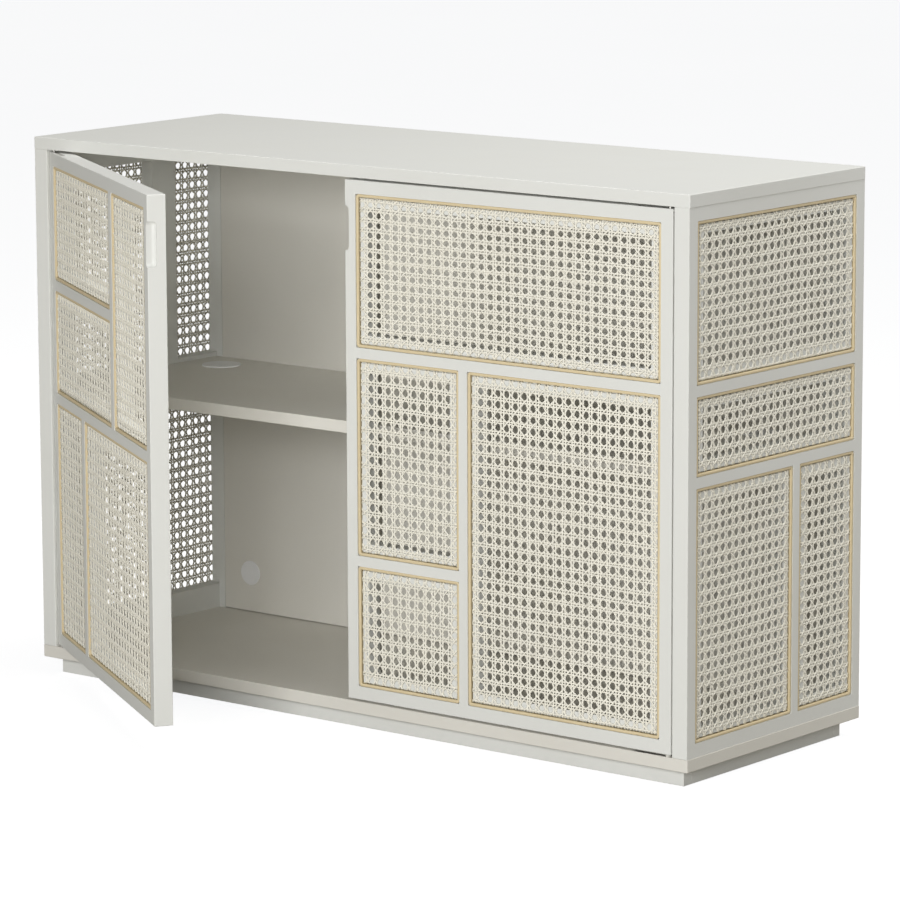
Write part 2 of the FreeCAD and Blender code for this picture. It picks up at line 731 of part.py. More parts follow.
def shelf():
    """The long shelf, with a notch for the centre post, two holes for cable caps and the back's screws."""
    end = INNER_X - SHELF_END_GAP
    board = eased(block((-end, SHELF_FRONT, SHELF_BOTTOM), (end, SHELF_REAR, SHELF_TOP)), EDGE_ROUND)
    half = POST_THICK / 2 + SHELF_POST_GAP
    deep = SHELF_FRONT + POST_DEPTH + SHELF_POST_GAP
    notch = block((-half, SHELF_FRONT - 1, SHELF_BOTTOM - 1), (half, deep, SHELF_TOP + 1))
    below = shelf_cap_place() - V(0, 0, SHELF_THICK)
    holes = both(Part.makeCylinder(SHELF_CAP_HOLE_R, SHELF_THICK, below))
    screws = [pointed(screw_hole(BACK_SCREW), p, -Y_AXIS) for p in back_screw_places()]
    return board.cut([notch] + holes + screws)


def cable_cap(hole_r, lip):
    """A cap along +Z: a disc that lies on a face at the origin, with a collar down into its hole."""
    disc = Part.makeCylinder(hole_r + lip, CAP_THICK)
    disc = disc.makeFillet(CAP_ROUND, [e for e in round_edges(disc) if e.BoundBox.ZMin > 0])
    foot = V(0, 0, -CAP_COLLAR)
    collar = Part.makeCylinder(hole_r - CAP_FREE, CAP_COLLAR, foot)
    hollow = Part.makeCylinder(hole_r - CAP_FREE - CAP_WALL, CAP_COLLAR, foot)
    return disc.fuse(collar.cut(hollow)).removeSplitter()


def shelf_cap_place():
    """The middle of the right cable cap in the shelf, on the shelf's upper face."""
    return V(INNER_X - SHELF_CAP_FROM_SIDE, BACK_PLANE - SHELF_CAP_FROM_BACK, SHELF_TOP)


def back_cap_place():
    """The middle of the right cable cap in the back panel, on the panel's front face."""
    return V(INNER_X - BACK_CAP_FROM_SIDE, BACK_PLANE, FLOOR + BACK_CAP_UP)


def back_panel():
    """The back, between the battens, with a tongue on each end and holes for its two cable caps."""
    low, high = FLOOR + PANEL_END_GAP, CEILING - PANEL_END_GAP
    board = block((-PANEL_X, BACK_PLANE, low), (PANEL_X, PANEL_REAR, high))
    middle = (BACK_PLANE + PANEL_REAR) / 2
    reach = PANEL_X + TONGUE_LENGTH
    tongue = block((-reach, middle - TONGUE_THICK / 2, low), (reach, middle + TONGUE_THICK / 2, high))
    holes = both(Part.makeCylinder(BACK_CAP_HOLE_R, BACK_THICK, back_cap_place(), Y_AXIS))
    screws = [pointed(screw_hole(BACK_SCREW), p, -Y_AXIS) for p in back_screw_places()]
    return board.fuse(tongue).removeSplitter().cut(holes + screws)


def back_batten():
    """The right batten, with the groove for the panel's tongue."""
    post = block((BATTEN_X, BACK_PLANE, FLOOR), (INNER_X, BACK_PLANE + BATTEN_DEPTH, CEILING))
    middle = (BACK_PLANE + PANEL_REAR) / 2
    half = TONGUE_THICK / 2 + TONGUE_FREE
    deep = PANEL_X + TONGUE_LENGTH + TONGUE_FREE
    groove = block((BATTEN_X - 1, middle - half, FLOOR - 1), (deep, middle + half, CEILING + 1))
    screws = [pointed(screw_hole(BATTEN_SCREW), p, X_AXIS) for p in batten_screw_places()]
    return eased(post, SMALL_ROUND).cut([groove] + screws)


def plinth_board(low, high):
    """One board of the plinth, with the holes of the screws that go up through it."""
    board = eased(block((*low, 0), (*high, PLINTH_HEIGHT)), SMALL_ROUND)
    return board.cut([pointed(screw_hole(PLINTH_SCREW), p, Z_AXIS) for p in plinth_screw_places()])


def plinth_nodes():
    """The plinth: front and back boards, two side boards between them and a rail across the middle."""
    x = OUTER_X - PLINTH_INSET
    y = REAR - PLINTH_INSET
    inner_x, inner_y, half = x - PLINTH_THICK, y - PLINTH_THICK, PLINTH_THICK / 2
    return {
        "plinth_front": [plinth_board((-x, -y), (x, -inner_y))],
        "plinth_back": [plinth_board((-x, inner_y), (x, y))],
        "plinth_left": [plinth_board((-x, -inner_y), (-inner_x, inner_y))],
        "plinth_right": [plinth_board((inner_x, -inner_y), (x, inner_y))],
        "plinth_cross_rail": [plinth_board((-half, -inner_y), (half, inner_y))],
    }


def carcass_nodes():
    """The boards of the carcass, its shelf and what is fixed to them."""
    plates = [hinge_plate(*end) for end in hinge_ends()]
    shelf_cap = pointed(cable_cap(SHELF_CAP_HOLE_R, SHELF_CAP_LIP), shelf_cap_place(), Z_AXIS)
    back_cap = pointed(cable_cap(BACK_CAP_HOLE_R, BACK_CAP_LIP), back_cap_place(), -Y_AXIS)
    nodes = {
        "top_board": [top_board()],
        "bottom_board": [bottom_board()],
        "centre_post": [centre_post()],
        "shelf": [shelf()],
        "back_panel": [back_panel()],
        "shelf_pins": [s for pin in shelf_pins() for s in both(pin)],
        "shelf_cable_caps": both(shelf_cap),
        "back_cable_caps": both(back_cap),
        "hinge_plates": [s for plate in plates for s in both(plate)],
        "hinge_washers": both(hinge_washer()),
        "catch_magnets": [s for place in magnet_places() for s in both(magnet(place))],
    }
    for side in SIDES:
        nodes["side_frame_" + side] = [side_frame(side)]
        nodes["back_batten_" + side] = [on_side(back_batten(), side)]
        nodes["reed_side_" + side] = reed_rings("side_" + side)
        for name, sheet in cane_sheets("side_" + side).items():
            nodes[name] = [sheet]
    return nodes


def fastener_nodes():
    """The carcass's screws and dowels, one node for each kind."""
    plate_screws = hinge_screws([(face, into) for face, _, into in hinge_ends()])
    batten = [pointed(screw(BATTEN_SCREW), p, X_AXIS) for p in batten_screw_places()]
    return {
        "hinge_plate_screws": [s for made in plate_screws for s in both(made)],
        "batten_screws": [s for made in batten for s in both(made)],
        "back_screws": [pointed(screw(BACK_SCREW), p, -Y_AXIS) for p in back_screw_places()],
        "carcass_screws": [pointed(screw(CARCASS_SCREW), p, Z_AXIS) for p in carcass_screw_places()],
        "plinth_screws": [pointed(screw(PLINTH_SCREW), p, Z_AXIS) for p in plinth_screw_places()],
        "carcass_dowels": [dowel(p) for p in dowel_places()],
    }


def main():
    """Builds every node and writes one STEP file for each."""
    os.makedirs("parts", exist_ok=True)
    nodes = {}
    for group in (carcass_nodes(), plinth_nodes(), fastener_nodes(), door_nodes("left"), door_nodes("right")):
        nodes.update(group)
    for name, solids in nodes.items():
        bodies = [part for made in solids for part in made.Solids]
        shape = bodies[0] if len(bodies) == 1 else Part.makeCompound(bodies)
        shape.exportStep(f"parts/{name}.step")
        print(name, len(bodies), round(shape.Volume / 1000, 2))


main()
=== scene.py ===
"""The looks of a low shoe cabinet: lacquered boards, woven cane sheets and the reed that holds them.

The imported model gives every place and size. The cane and the reed are built here as real strands
and strips, and the boards, hinges and fasteners keep their own shapes and are dressed in place.
Lengths are metres, +Z is up and the front faces -Y.
"""

import json
import logging
import math
from dataclasses import dataclass, field
from enum import Enum

import bpy
import numpy as np
from mathutils import Matrix, Vector


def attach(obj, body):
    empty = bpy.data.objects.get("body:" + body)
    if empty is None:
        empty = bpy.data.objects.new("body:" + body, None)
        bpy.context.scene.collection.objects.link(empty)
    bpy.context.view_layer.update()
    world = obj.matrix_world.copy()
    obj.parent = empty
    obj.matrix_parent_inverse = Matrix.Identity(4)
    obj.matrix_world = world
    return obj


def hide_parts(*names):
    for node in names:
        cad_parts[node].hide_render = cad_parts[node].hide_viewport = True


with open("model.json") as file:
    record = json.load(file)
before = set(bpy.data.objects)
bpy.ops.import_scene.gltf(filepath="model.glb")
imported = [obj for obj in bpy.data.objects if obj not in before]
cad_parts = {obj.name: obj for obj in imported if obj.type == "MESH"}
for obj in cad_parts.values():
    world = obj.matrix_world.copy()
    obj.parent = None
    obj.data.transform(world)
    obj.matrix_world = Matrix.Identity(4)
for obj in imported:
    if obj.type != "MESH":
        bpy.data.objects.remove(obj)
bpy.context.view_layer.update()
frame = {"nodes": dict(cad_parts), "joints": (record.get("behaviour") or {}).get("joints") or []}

MM = 0.001
STRAND_MAP = "strand"
FULL_TURN = 2 * math.pi

Colour = tuple[float, float, float]
log = logging.getLogger("shoe_cabinet")


# ---- wiring of nodes


class Wiring:
    """Places the nodes of one tree and joins them, left to right."""

    STEP = 190.0

    def __init__(self, tree: bpy.types.NodeTree, material: bpy.types.Material | None = None) -> None:
        """Start with an empty tree.

        Args:
            tree: The node tree of a material or of a group.
            material: The material that the tree belongs to, or None for a group.
        """
        self.tree = tree
        self.material = material
        self.tree.nodes.clear()
        self.placed = 0

    def add(self, kind: str, sockets: dict | None = None, **settings: object) -> bpy.types.Node:
        """Place one node.

        Args:
            kind: The node's type, such as ShaderNodeMath.
            sockets: Its inputs by name or number: a value, or another node's output to join.
            **settings: The node's own properties, such as operation.

        Returns:
            The new node.
        """
        node = self.tree.nodes.new(kind)
        node.location = (self.STEP * self.placed, 0.0)
        self.placed += 1
        for name, value in settings.items():
            setattr(node, name, value)
        for key, value in (sockets or {}).items():
            if isinstance(value, bpy.types.NodeSocket):
                self.tree.links.new(value, node.inputs[key])
            else:
                node.inputs[key].default_value = value
        return node

    def maths(
        self, operation: str, first: object, second: object = 0.0, clamp: bool = False
    ) -> bpy.types.NodeSocket:
        """Work out one number from two.

        Args:
            operation: What to do, such as MULTIPLY.
            first: A number or a socket.
            second: A number or a socket.
            clamp: Whether the result is held between 0 and 1.

        Returns:
            The socket with the result.
        """
        node = self.add("ShaderNodeMath", {0: first, 1: second}, operation=operation, use_clamp=clamp)
        return node.outputs[0]

    def spread(
        self, value: object, low: float, high: float, to_low: float = 0.0, to_high: float = 1.0
    ) -> bpy.types.NodeSocket:
        """Stretch a range of values over another range, clamped at both ends.

        Args:
            value: The socket to stretch.
            low: The value that gives to_low.
            high: The value that gives to_high.
            to_low: The lower result.
            to_high: The higher result.

        Returns:
            The socket with the result.
        """
        sockets = {"Value": value, "From Min": low, "From Max": high, "To Min": to_low, "To Max": to_high}
        return self.add("ShaderNodeMapRange", sockets).outputs["Result"]

    def blend(self, share: object, first: object, second: object) -> bpy.types.NodeSocket:
        """Mix two colours.

        Args:
            share: How much of the second colour shows, from 0 to 1.
            first: A colour or a socket.
            second: A colour or a socket.

        Returns:
            The socket with the mixed colour.
        """
        sockets = {0: share, 6: opaque(first), 7: opaque(second)}
        return self.add("ShaderNodeMix", sockets, data_type="RGBA").outputs[2]

    def group(self, tree: bpy.types.NodeTree, sockets: dict) -> bpy.types.Node:
        """Place a shared group with its own values."""
        return self.add("ShaderNodeGroup", sockets, node_tree=tree)

    def noise(self, place: object, scale: object, detail: float, rough: float = 0.5) -> bpy.types.NodeSocket:
        """Cloudy noise in space.

        Args:
            place: The socket with the place.
            scale: How many clouds there are to a unit: a number or a socket.
            detail: How many finer layers it has.
            rough: How much the finer layers show.

        Returns:
            The socket with the noise, near 0.5.
        """
        sockets = {"Vector": place, "Scale": scale, "Detail": detail, "Roughness": rough}
        return self.add("ShaderNodeTexNoise", sockets).outputs["Fac"]


def opaque(colour: object) -> object:
    """Give a plain colour its fourth value, and leave a socket as it is."""
    return (*colour, 1.0) if isinstance(colour, tuple) and len(colour) == 3 else colour


# ---- effects shared by several finishes


class Effects:
    """The shader groups that more than one finish uses, each built once."""

    def __init__(self) -> None:
        """Build every group."""
        self.patches = self._patches()
        self.worn_edges = self._worn_edges()
        self.corners = self._corners()
        self.skin = self._skin()
        self.fibres = self._fibres()

    @staticmethod
    def _start(
        name: str, inputs: dict[str, float | None], outputs: tuple[str, ...]
    ) -> tuple[Wiring, bpy.types.Node]:
        """Make an empty group.

        Args:
            name: The group's name.
            inputs: For each input, its usual value, or None where it takes a place.
            outputs: The outputs, each a single value.

        Returns:
            The wiring to build it with, and its input node.
        """
        tree = bpy.data.node_groups.new(name, "ShaderNodeTree")
        for label, value in inputs.items():
            kind = "NodeSocketVector" if value is None else "NodeSocketFloat"
            socket = tree.interface.new_socket(label, in_out="INPUT", socket_type=kind)
            if value is not None:
                socket.default_value = value
        for label in outputs:
            tree.interface.new_socket(label, in_out="OUTPUT", socket_type="NodeSocketFloat")
        wiring = Wiring(tree)
        return wiring, wiring.add("NodeGroupInput")

    def _patches(self) -> bpy.types.NodeTree:
        """Broad soft patches of tone, as no coat or batch is quite even."""
        w, given = self._start("Tone patches", {"Place": None, "Size": 0.2}, ("Tone",))
        scale = w.maths("DIVIDE", 1.0, given.outputs["Size"])
        broad = w.noise(given.outputs["Place"], scale, 4.0, 0.55)
        w.add("NodeGroupOutput", {"Tone": w.spread(broad, 0.3, 0.7)})
        return w.tree

    def _worn_edges(self) -> bpy.types.NodeTree:
        """A broken line of wear along edges that stick out."""
        w, given = self._start("Worn edges", {"Place": None, "Reach": 0.0015, "Break": 0.02}, ("Wear",))
        rounded = w.add("ShaderNodeBevel", {"Radius": given.outputs["Reach"]}, samples=4)
        true = w.add("ShaderNodeNewGeometry")
        normals = {0: rounded.outputs["Normal"], 1: true.outputs["Normal"]}
        turn = w.add("ShaderNodeVectorMath", normals, operation="DOT_PRODUCT")
        edge = w.spread(turn.outputs["Value"], 0.995, 0.86)
        scale = w.maths("DIVIDE", 1.0, given.outputs["Break"])
        broken = w.spread(w.noise(given.outputs["Place"], scale, 5.0, 0.65), 0.42, 0.68)
        w.add("NodeGroupOutput", {"Wear": w.maths("MULTIPLY", edge, broken, clamp=True)})
        return w.tree

    def _corners(self) -> bpy.types.NodeTree:
        """Painted shade where surfaces meet: darker where the occlusion test finds other surfaces close by,
        broken up by noise.
        """
        w, given = self._start("Painted corner shade", {"Place": None, "Reach": 0.012, "Break": 0.05}, ("Corner shade",))
        # occlusion finds where surfaces meet, and the mask darkens the colour there as painted shade
        shut = w.add("ShaderNodeAmbientOcclusion", {"Distance": given.outputs["Reach"]}, samples=4)
        scale = w.maths("DIVIDE", 1.0, given.outputs["Break"])
        uneven = w.spread(w.noise(given.outputs["Place"], scale, 4.0), 0.3, 0.62)
        deep = w.spread(shut.outputs["AO"], 0.75, 0.25)
        w.add("NodeGroupOutput", {"Corner shade": w.maths("MULTIPLY", deep, uneven, clamp=True)})
        return w.tree

    def _skin(self) -> bpy.types.NodeTree:
        """The fine uneven skin of a sprayed or moulded surface."""
        w, given = self._start("Sprayed skin", {"Place": None, "Grain": 0.002}, ("Height",))
        scale = w.maths("DIVIDE", 1.0, given.outputs["Grain"])
        peel = w.noise(given.outputs["Place"], scale, 2.0, 0.4)
        finer = {"Vector": given.outputs["Place"], "Scale": w.maths("MULTIPLY", scale, 2.3)}
        speck = w.add("ShaderNodeTexVoronoi", finer, feature="SMOOTH_F1")
        height = w.maths("ADD", peel, w.maths("MULTIPLY", speck.outputs["Distance"], 0.35))
        w.add("NodeGroupOutput", {"Height": height})
        return w.tree

    def _fibres(self) -> bpy.types.NodeTree:
        """Long fine streaks that run along a strand, and the joints where leaves once grew."""
        inputs = {"Strand": None, "Length": 0.03, "Fineness": 9.0}
        w, given = self._start("Long fibres", inputs, ("Streak", "Tone", "Height"))
        parts = w.add("ShaderNodeSeparateXYZ", {0: given.outputs["Strand"]})
        along = w.maths("DIVIDE", parts.outputs["X"], given.outputs["Length"])
        which = w.maths("FLOOR", parts.outputs["Y"])
        across = w.maths("MULTIPLY", w.maths("FRACT", parts.outputs["Y"]), given.outputs["Fineness"])
        place = w.add("ShaderNodeCombineXYZ", {"X": along, "Y": across, "Z": w.maths("MULTIPLY", which, 3.7)})
        streak = w.noise(place.outputs[0], 1.0, 3.0, 0.6)
        own = w.add("ShaderNodeTexWhiteNoise", {"W": which}, noise_dimensions="1D")
        slow = w.maths("ADD", w.maths("MULTIPLY", along, 0.12), w.maths("MULTIPLY", which, 5.3))
        drift = w.add("ShaderNodeTexNoise", {"W": slow, "Scale": 1.0}, noise_dimensions="1D")
        own_part = w.maths("MULTIPLY", own.outputs["Value"], 0.6)
        tone = w.maths("ADD", own_part, w.maths("MULTIPLY", drift.outputs["Fac"], 0.4))
        w.add("NodeGroupOutput", {"Streak": w.spread(streak, 0.32, 0.68), "Tone": tone, "Height": streak})
        return w.tree


# ---- finishes


class Finish:
    """What every finish shares: a named material with one Principled shader."""

    @staticmethod
    def start(name: str) -> Wiring:
        """Make an empty material.

        Args:
            name: The material's name.

        Returns:
            The wiring of its node tree.
        """
        material = bpy.data.materials.new(name)
        material.use_nodes = True
        return Wiring(material.node_tree, material)

    @staticmethod
    def close(w: Wiring, sockets: dict, height: object, lift: float, distance: float) -> bpy.types.Material:
        """Add the shader with its bump and join it to the material's output.

        Args:
            w: The material's wiring.
            sockets: The shader's inputs.
            height: The socket with the bump's height.
            lift: The bump's strength.
            distance: How deep the bump is, in metres.

        Returns:
            The finished material.
        """
        bump = w.add("ShaderNodeBump", {"Strength": lift, "Distance": distance, "Height": height})
        shader = w.add("ShaderNodeBsdfPrincipled", {**sockets, "Normal": bump.outputs["Normal"]})
        w.add("ShaderNodeOutputMaterial", {"Surface": shader.outputs["BSDF"]})
        return w.material


@dataclass(frozen=True)
class Lacquer(Finish):
    """Creamy white satin lacquer, sprayed over board."""

    name: str = "satin_lacquer"
    colour: Colour = (0.82, 0.83, 0.805)
    shade: Colour = (0.79, 0.797, 0.765)
    bare: Colour = (0.70, 0.66, 0.575)
    dust: Colour = (0.56, 0.535, 0.475)
    # darker warm colour for the painted shade where surfaces meet
    patch: float = 0.28
    peel: float = 0.0022
    wear_reach: float = 0.0012
    wear_shows: float = 0.3
    corner_shade_shows: float = 0.18

    def make(self, effects: Effects) -> bpy.types.Material:
        """Build the lacquer from the shared effects."""
        w = self.start(self.name)
        place = w.add("ShaderNodeTexCoord").outputs["Object"]
        tone = w.group(effects.patches, {"Place": place, "Size": self.patch}).outputs["Tone"]
        edges = {"Place": place, "Reach": self.wear_reach, "Break": 0.03}
        wear = w.group(effects.worn_edges, edges).outputs["Wear"]
        dust = w.group(effects.corners, {"Place": place}).outputs["Corner shade"]
        height = w.group(effects.skin, {"Place": place, "Grain": self.peel}).outputs["Height"]
        coat = w.blend(tone, self.colour, self.shade)
        coat = w.blend(w.maths("MULTIPLY", wear, self.wear_shows), coat, self.bare)
        # painted shade: darker where surfaces meet, from the occlusion mask
        coat = w.blend(w.maths("MULTIPLY", dust, self.corner_shade_shows), coat, self.dust)
        rough = w.maths("ADD", w.spread(tone, 0.0, 1.0, 0.44, 0.52), w.maths("MULTIPLY", wear, 0.12))
        return self.close(w, {"Base Color": coat, "Roughness": rough, "IOR": 1.46}, height, 0.12, 0.0004)


@dataclass(frozen=True)
class Cane(Finish):
    """Bleached cane strands: creamy, with fine fibres and a slight gloss."""

    name: str = "bleached_cane"
    light: Colour = (0.97, 0.95, 0.865)
    dark: Colour = (0.91, 0.875, 0.755)
    stain: Colour = (0.78, 0.70, 0.52)
    fibre: float = 0.018

    def make(self, effects: Effects) -> bpy.types.Material:
        """Build the cane from the shared effects."""
        w = self.start(self.name)
        strand = w.add("ShaderNodeUVMap", uv_map=STRAND_MAP).outputs["UV"]
        place = w.add("ShaderNodeTexCoord").outputs["Object"]
        fibres = w.group(effects.fibres, {"Strand": strand, "Length": self.fibre, "Fineness": 7.0})
        patches = w.group(effects.patches, {"Place": place, "Size": 0.07}).outputs["Tone"]
        streak, tone, height = (fibres.outputs[name] for name in ("Streak", "Tone", "Height"))
        share = w.maths("ADD", w.maths("MULTIPLY", streak, 0.4), w.maths("MULTIPLY", tone, 0.45))
        base = w.blend(share, self.light, self.dark)
        stained = w.maths("MULTIPLY", w.spread(patches, 0.72, 1.0), w.spread(streak, 0.55, 0.9))
        base = w.blend(w.maths("MULTIPLY", stained, 0.35), base, self.stain)
        rough = w.spread(streak, 0.0, 1.0, 0.42, 0.58)
        return self.close(w, {"Base Color": base, "Roughness": rough, "IOR": 1.5}, height, 0.35, 0.00012)


@dataclass(frozen=True)
class Reed(Finish):
    """Tan reed: split rattan with long streaks and darker, worn arrises."""

    name: str = "tan_reed"
    light: Colour = (0.88, 0.77, 0.53)
    dark: Colour = (0.77, 0.64, 0.40)
    streak: Colour = (0.52, 0.39, 0.20)
    fibre: float = 0.05

    def make(self, effects: Effects) -> bpy.types.Material:
        """Build the reed from the shared effects."""
        w = self.start(self.name)
        strand = w.add("ShaderNodeUVMap", uv_map=STRAND_MAP).outputs["UV"]
        place = w.add("ShaderNodeTexCoord").outputs["Object"]
        fibres = w.group(effects.fibres, {"Strand": strand, "Length": self.fibre, "Fineness": 16.0})
        wear = w.group(effects.worn_edges, {"Place": place, "Reach": 0.0007, "Break": 0.012}).outputs["Wear"]
        streak, tone, height = (fibres.outputs[name] for name in ("Streak", "Tone", "Height"))
        base = w.blend(tone, self.light, self.dark)
        base = w.blend(w.maths("MULTIPLY", streak, 0.38), base, self.streak)
        base = w.blend(w.maths("MULTIPLY", wear, 0.4), base, self.streak)
        rough = w.spread(streak, 0.0, 1.0, 0.4, 0.6)
        return self.close(w, {"Base Color": base, "Roughness": rough, "IOR": 1.5}, height, 0.5, 0.0002)


@dataclass(frozen=True)
class Metal(Finish):
    """Plated or bare metal with fine rolled grain and rubbed edges."""

    name: str
    light: Colour
    dark: Colour
    rough: float
    grain: float = 0.0006

    def make(self, effects: Effects) -> bpy.types.Material:
        """Build the metal from the shared effects."""
        w = self.start(self.name)
        place = w.add("ShaderNodeTexCoord").outputs["Object"]
        tone = w.group(effects.patches, {"Place": place, "Size": 0.012}).outputs["Tone"]
        wear = w.group(effects.worn_edges, {"Place": place, "Reach": 0.0004, "Break": 0.004}).outputs["Wear"]
        height = w.group(effects.skin, {"Place": place, "Grain": self.grain}).outputs["Height"]
        base = w.blend(w.maths("MULTIPLY", wear, 0.5), w.blend(tone, self.light, self.dark), self.light)
        rough = w.spread(tone, 0.0, 1.0, self.rough, self.rough + 0.14)
        return self.close(w, {"Base Color": base, "Roughness": rough, "Metallic": 1.0}, height, 0.25, 0.00008)


@dataclass(frozen=True)
class Moulding(Finish):
    """Moulded plastic with a fine spark-eroded texture."""

    name: str
    colour: Colour
    shade: Colour
    grain: float = 0.0008

    def make(self, effects: Effects) -> bpy.types.Material:
        """Build the plastic from the shared effects."""
        w = self.start(self.name)
        place = w.add("ShaderNodeTexCoord").outputs["Object"]
        tone = w.group(effects.patches, {"Place": place, "Size": 0.03}).outputs["Tone"]
        wear = w.group(effects.worn_edges, {"Place": place, "Reach": 0.0006, "Break": 0.01}).outputs["Wear"]
        dust = w.group(effects.corners, {"Place": place, "Reach": 0.004, "Break": 0.02}).outputs["Corner shade"]
        height = w.group(effects.skin, {"Place": place, "Grain": self.grain}).outputs["Height"]
        # painted shade: darker towards the shade colour where surfaces meet
        base = w.blend(w.maths("MULTIPLY", dust, 0.4), w.blend(tone, self.colour, self.shade), self.shade)
        rough = w.maths("SUBTRACT", w.spread(tone, 0.0, 1.0, 0.4, 0.5), w.maths("MULTIPLY", wear, 0.15))
        return self.close(w, {"Base Color": base, "Roughness": rough, "IOR": 1.49}, height, 0.2, 0.0001)


@dataclass(frozen=True)
class Beech(Finish):
    """Turned beech with short dark flecks along the grain."""

    name: str = "turned_beech"
    light: Colour = (0.62, 0.43, 0.25)
    dark: Colour = (0.44, 0.28, 0.15)

    def make(self, effects: Effects) -> bpy.types.Material:
        """Build the beech from the shared effects."""
        w = self.start(self.name)
        place = w.add("ShaderNodeTexCoord").outputs["Object"]
        drawn = w.add("ShaderNodeMapping", {"Vector": place, "Scale": (900.0, 900.0, 70.0)}).outputs[0]
        fleck = w.noise(drawn, 1.0, 3.0)
        wear = w.group(effects.worn_edges, {"Place": place, "Reach": 0.0005, "Break": 0.004}).outputs["Wear"]
        base = w.blend(w.spread(fleck, 0.35, 0.7), self.light, self.dark)
        base = w.blend(w.maths("MULTIPLY", wear, 0.4), base, self.dark)
        rough = w.spread(fleck, 0.3, 0.7, 0.55, 0.7)
        return self.close(w, {"Base Color": base, "Roughness": rough, "IOR": 1.5}, fleck, 0.3, 0.0001)


@dataclass(frozen=True)
class Paper(Finish):
    """The pale floor that the cabinet stands on, which is bright only to the camera."""

    name: str = "pale_floor"
    colour: Colour = (0.33, 0.315, 0.28)
    shade: Colour = (0.31, 0.295, 0.262)
    glow: Colour = (0.86, 0.87, 0.89)

    def make(self, effects: Effects) -> bpy.types.Material:
        """Build the floor from the shared effects."""
        w = self.start(self.name)
        place = w.add("ShaderNodeTexCoord").outputs["Object"]
        tone = w.group(effects.patches, {"Place": place, "Size": 1.5}).outputs["Tone"]
        height = w.group(effects.skin, {"Place": place, "Grain": 0.004}).outputs["Height"]
        base = w.blend(tone, self.colour, self.shade)
        rough = w.spread(tone, 0.0, 1.0, 0.8, 0.86)
        seen = w.add("ShaderNodeLightPath").outputs["Is Camera Ray"]
        glow = w.blend(seen, (0.0, 0.0, 0.0), self.glow)
        sockets = {"Base Color": base, "Roughness": rough, "Specular IOR Level": 0.15}
        sockets.update({"Emission Color": glow, "Emission Strength": 1.0})
        return self.close(w, sockets, height, 0.05, 0.0002)


class Slot(Enum):
    """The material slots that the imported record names."""

    BOARD = "painted_board"
    CANE = "cane_webbing"
    REED = "reed"
    HINGE = "hinge_steel"
    SCREW = "screw_zinc"
    MAGNET = "magnet_nickel"
    WASHER = "washer_nylon"
    CAP = "cap_plastic"
    DOWEL = "beech"


# the boards inside take a darker, warmer copy of the lacquer: painted shade for the dim, warm light inside
# the cabinet
SHADED_INSIDE_LACQUER = Lacquer("shaded_inside_lacquer", (0.80, 0.785, 0.73), (0.77, 0.75, 0.69))

FINISHES: dict[Slot, Finish] = {
    Slot.BOARD: Lacquer(),
    Slot.CANE: Cane(),
    Slot.REED: Reed(),
    Slot.HINGE: Metal("hinge_steel_plated", (0.62, 0.61, 0.59), (0.50, 0.49, 0.47), 0.32),
    Slot.SCREW: Metal("screw_zinc_plated", (0.68, 0.67, 0.62), (0.55, 0.54, 0.50), 0.28, 0.0004),
    Slot.MAGNET: Metal("magnet_nickel_plated", (0.70, 0.68, 0.64), (0.60, 0.58, 0.54), 0.16, 0.0004),
    Slot.WASHER: Moulding("nylon_washer", (0.74, 0.73, 0.69), (0.62, 0.61, 0.57)),
    Slot.CAP: Moulding("cable_cap", (0.93, 0.935, 0.94), (0.87, 0.875, 0.88)),
    Slot.DOWEL: Beech(),
}


class Workshop:
    """Holds the materials and dresses pieces in them."""

    def __init__(self) -> None:
        """Build the shared effects and every finish once."""
        self.effects = Effects()
        self.materials = {slot: finish.make(self.effects) for slot, finish in FINISHES.items()}
        # the darker, warmer copy of the lacquer paints the shade inside the cabinet
        self.inside = SHADED_INSIDE_LACQUER.make(self.effects)

    def dress_node(self, node: str, inside: bool = False) -> None:
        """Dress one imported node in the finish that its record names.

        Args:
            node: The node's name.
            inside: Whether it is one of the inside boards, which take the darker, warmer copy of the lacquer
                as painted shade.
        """
        piece = frame["nodes"][node]
        named = piece.data.materials[0].name.split(".")[0]
        material = self.inside if inside else self.materials[Slot(named)]
        for slot in piece.material_slots:
            slot.link = "OBJECT"
            slot.material = material
        log.info("dressed %s in %s", node, material.name)

    def dress_piece(self, piece: bpy.types.Object, slot: Slot) -> None:
        """Dress a piece built here in the finish of the record's slot that it is given."""
        piece.data.materials.append(self.materials[slot])


# ---- shapes


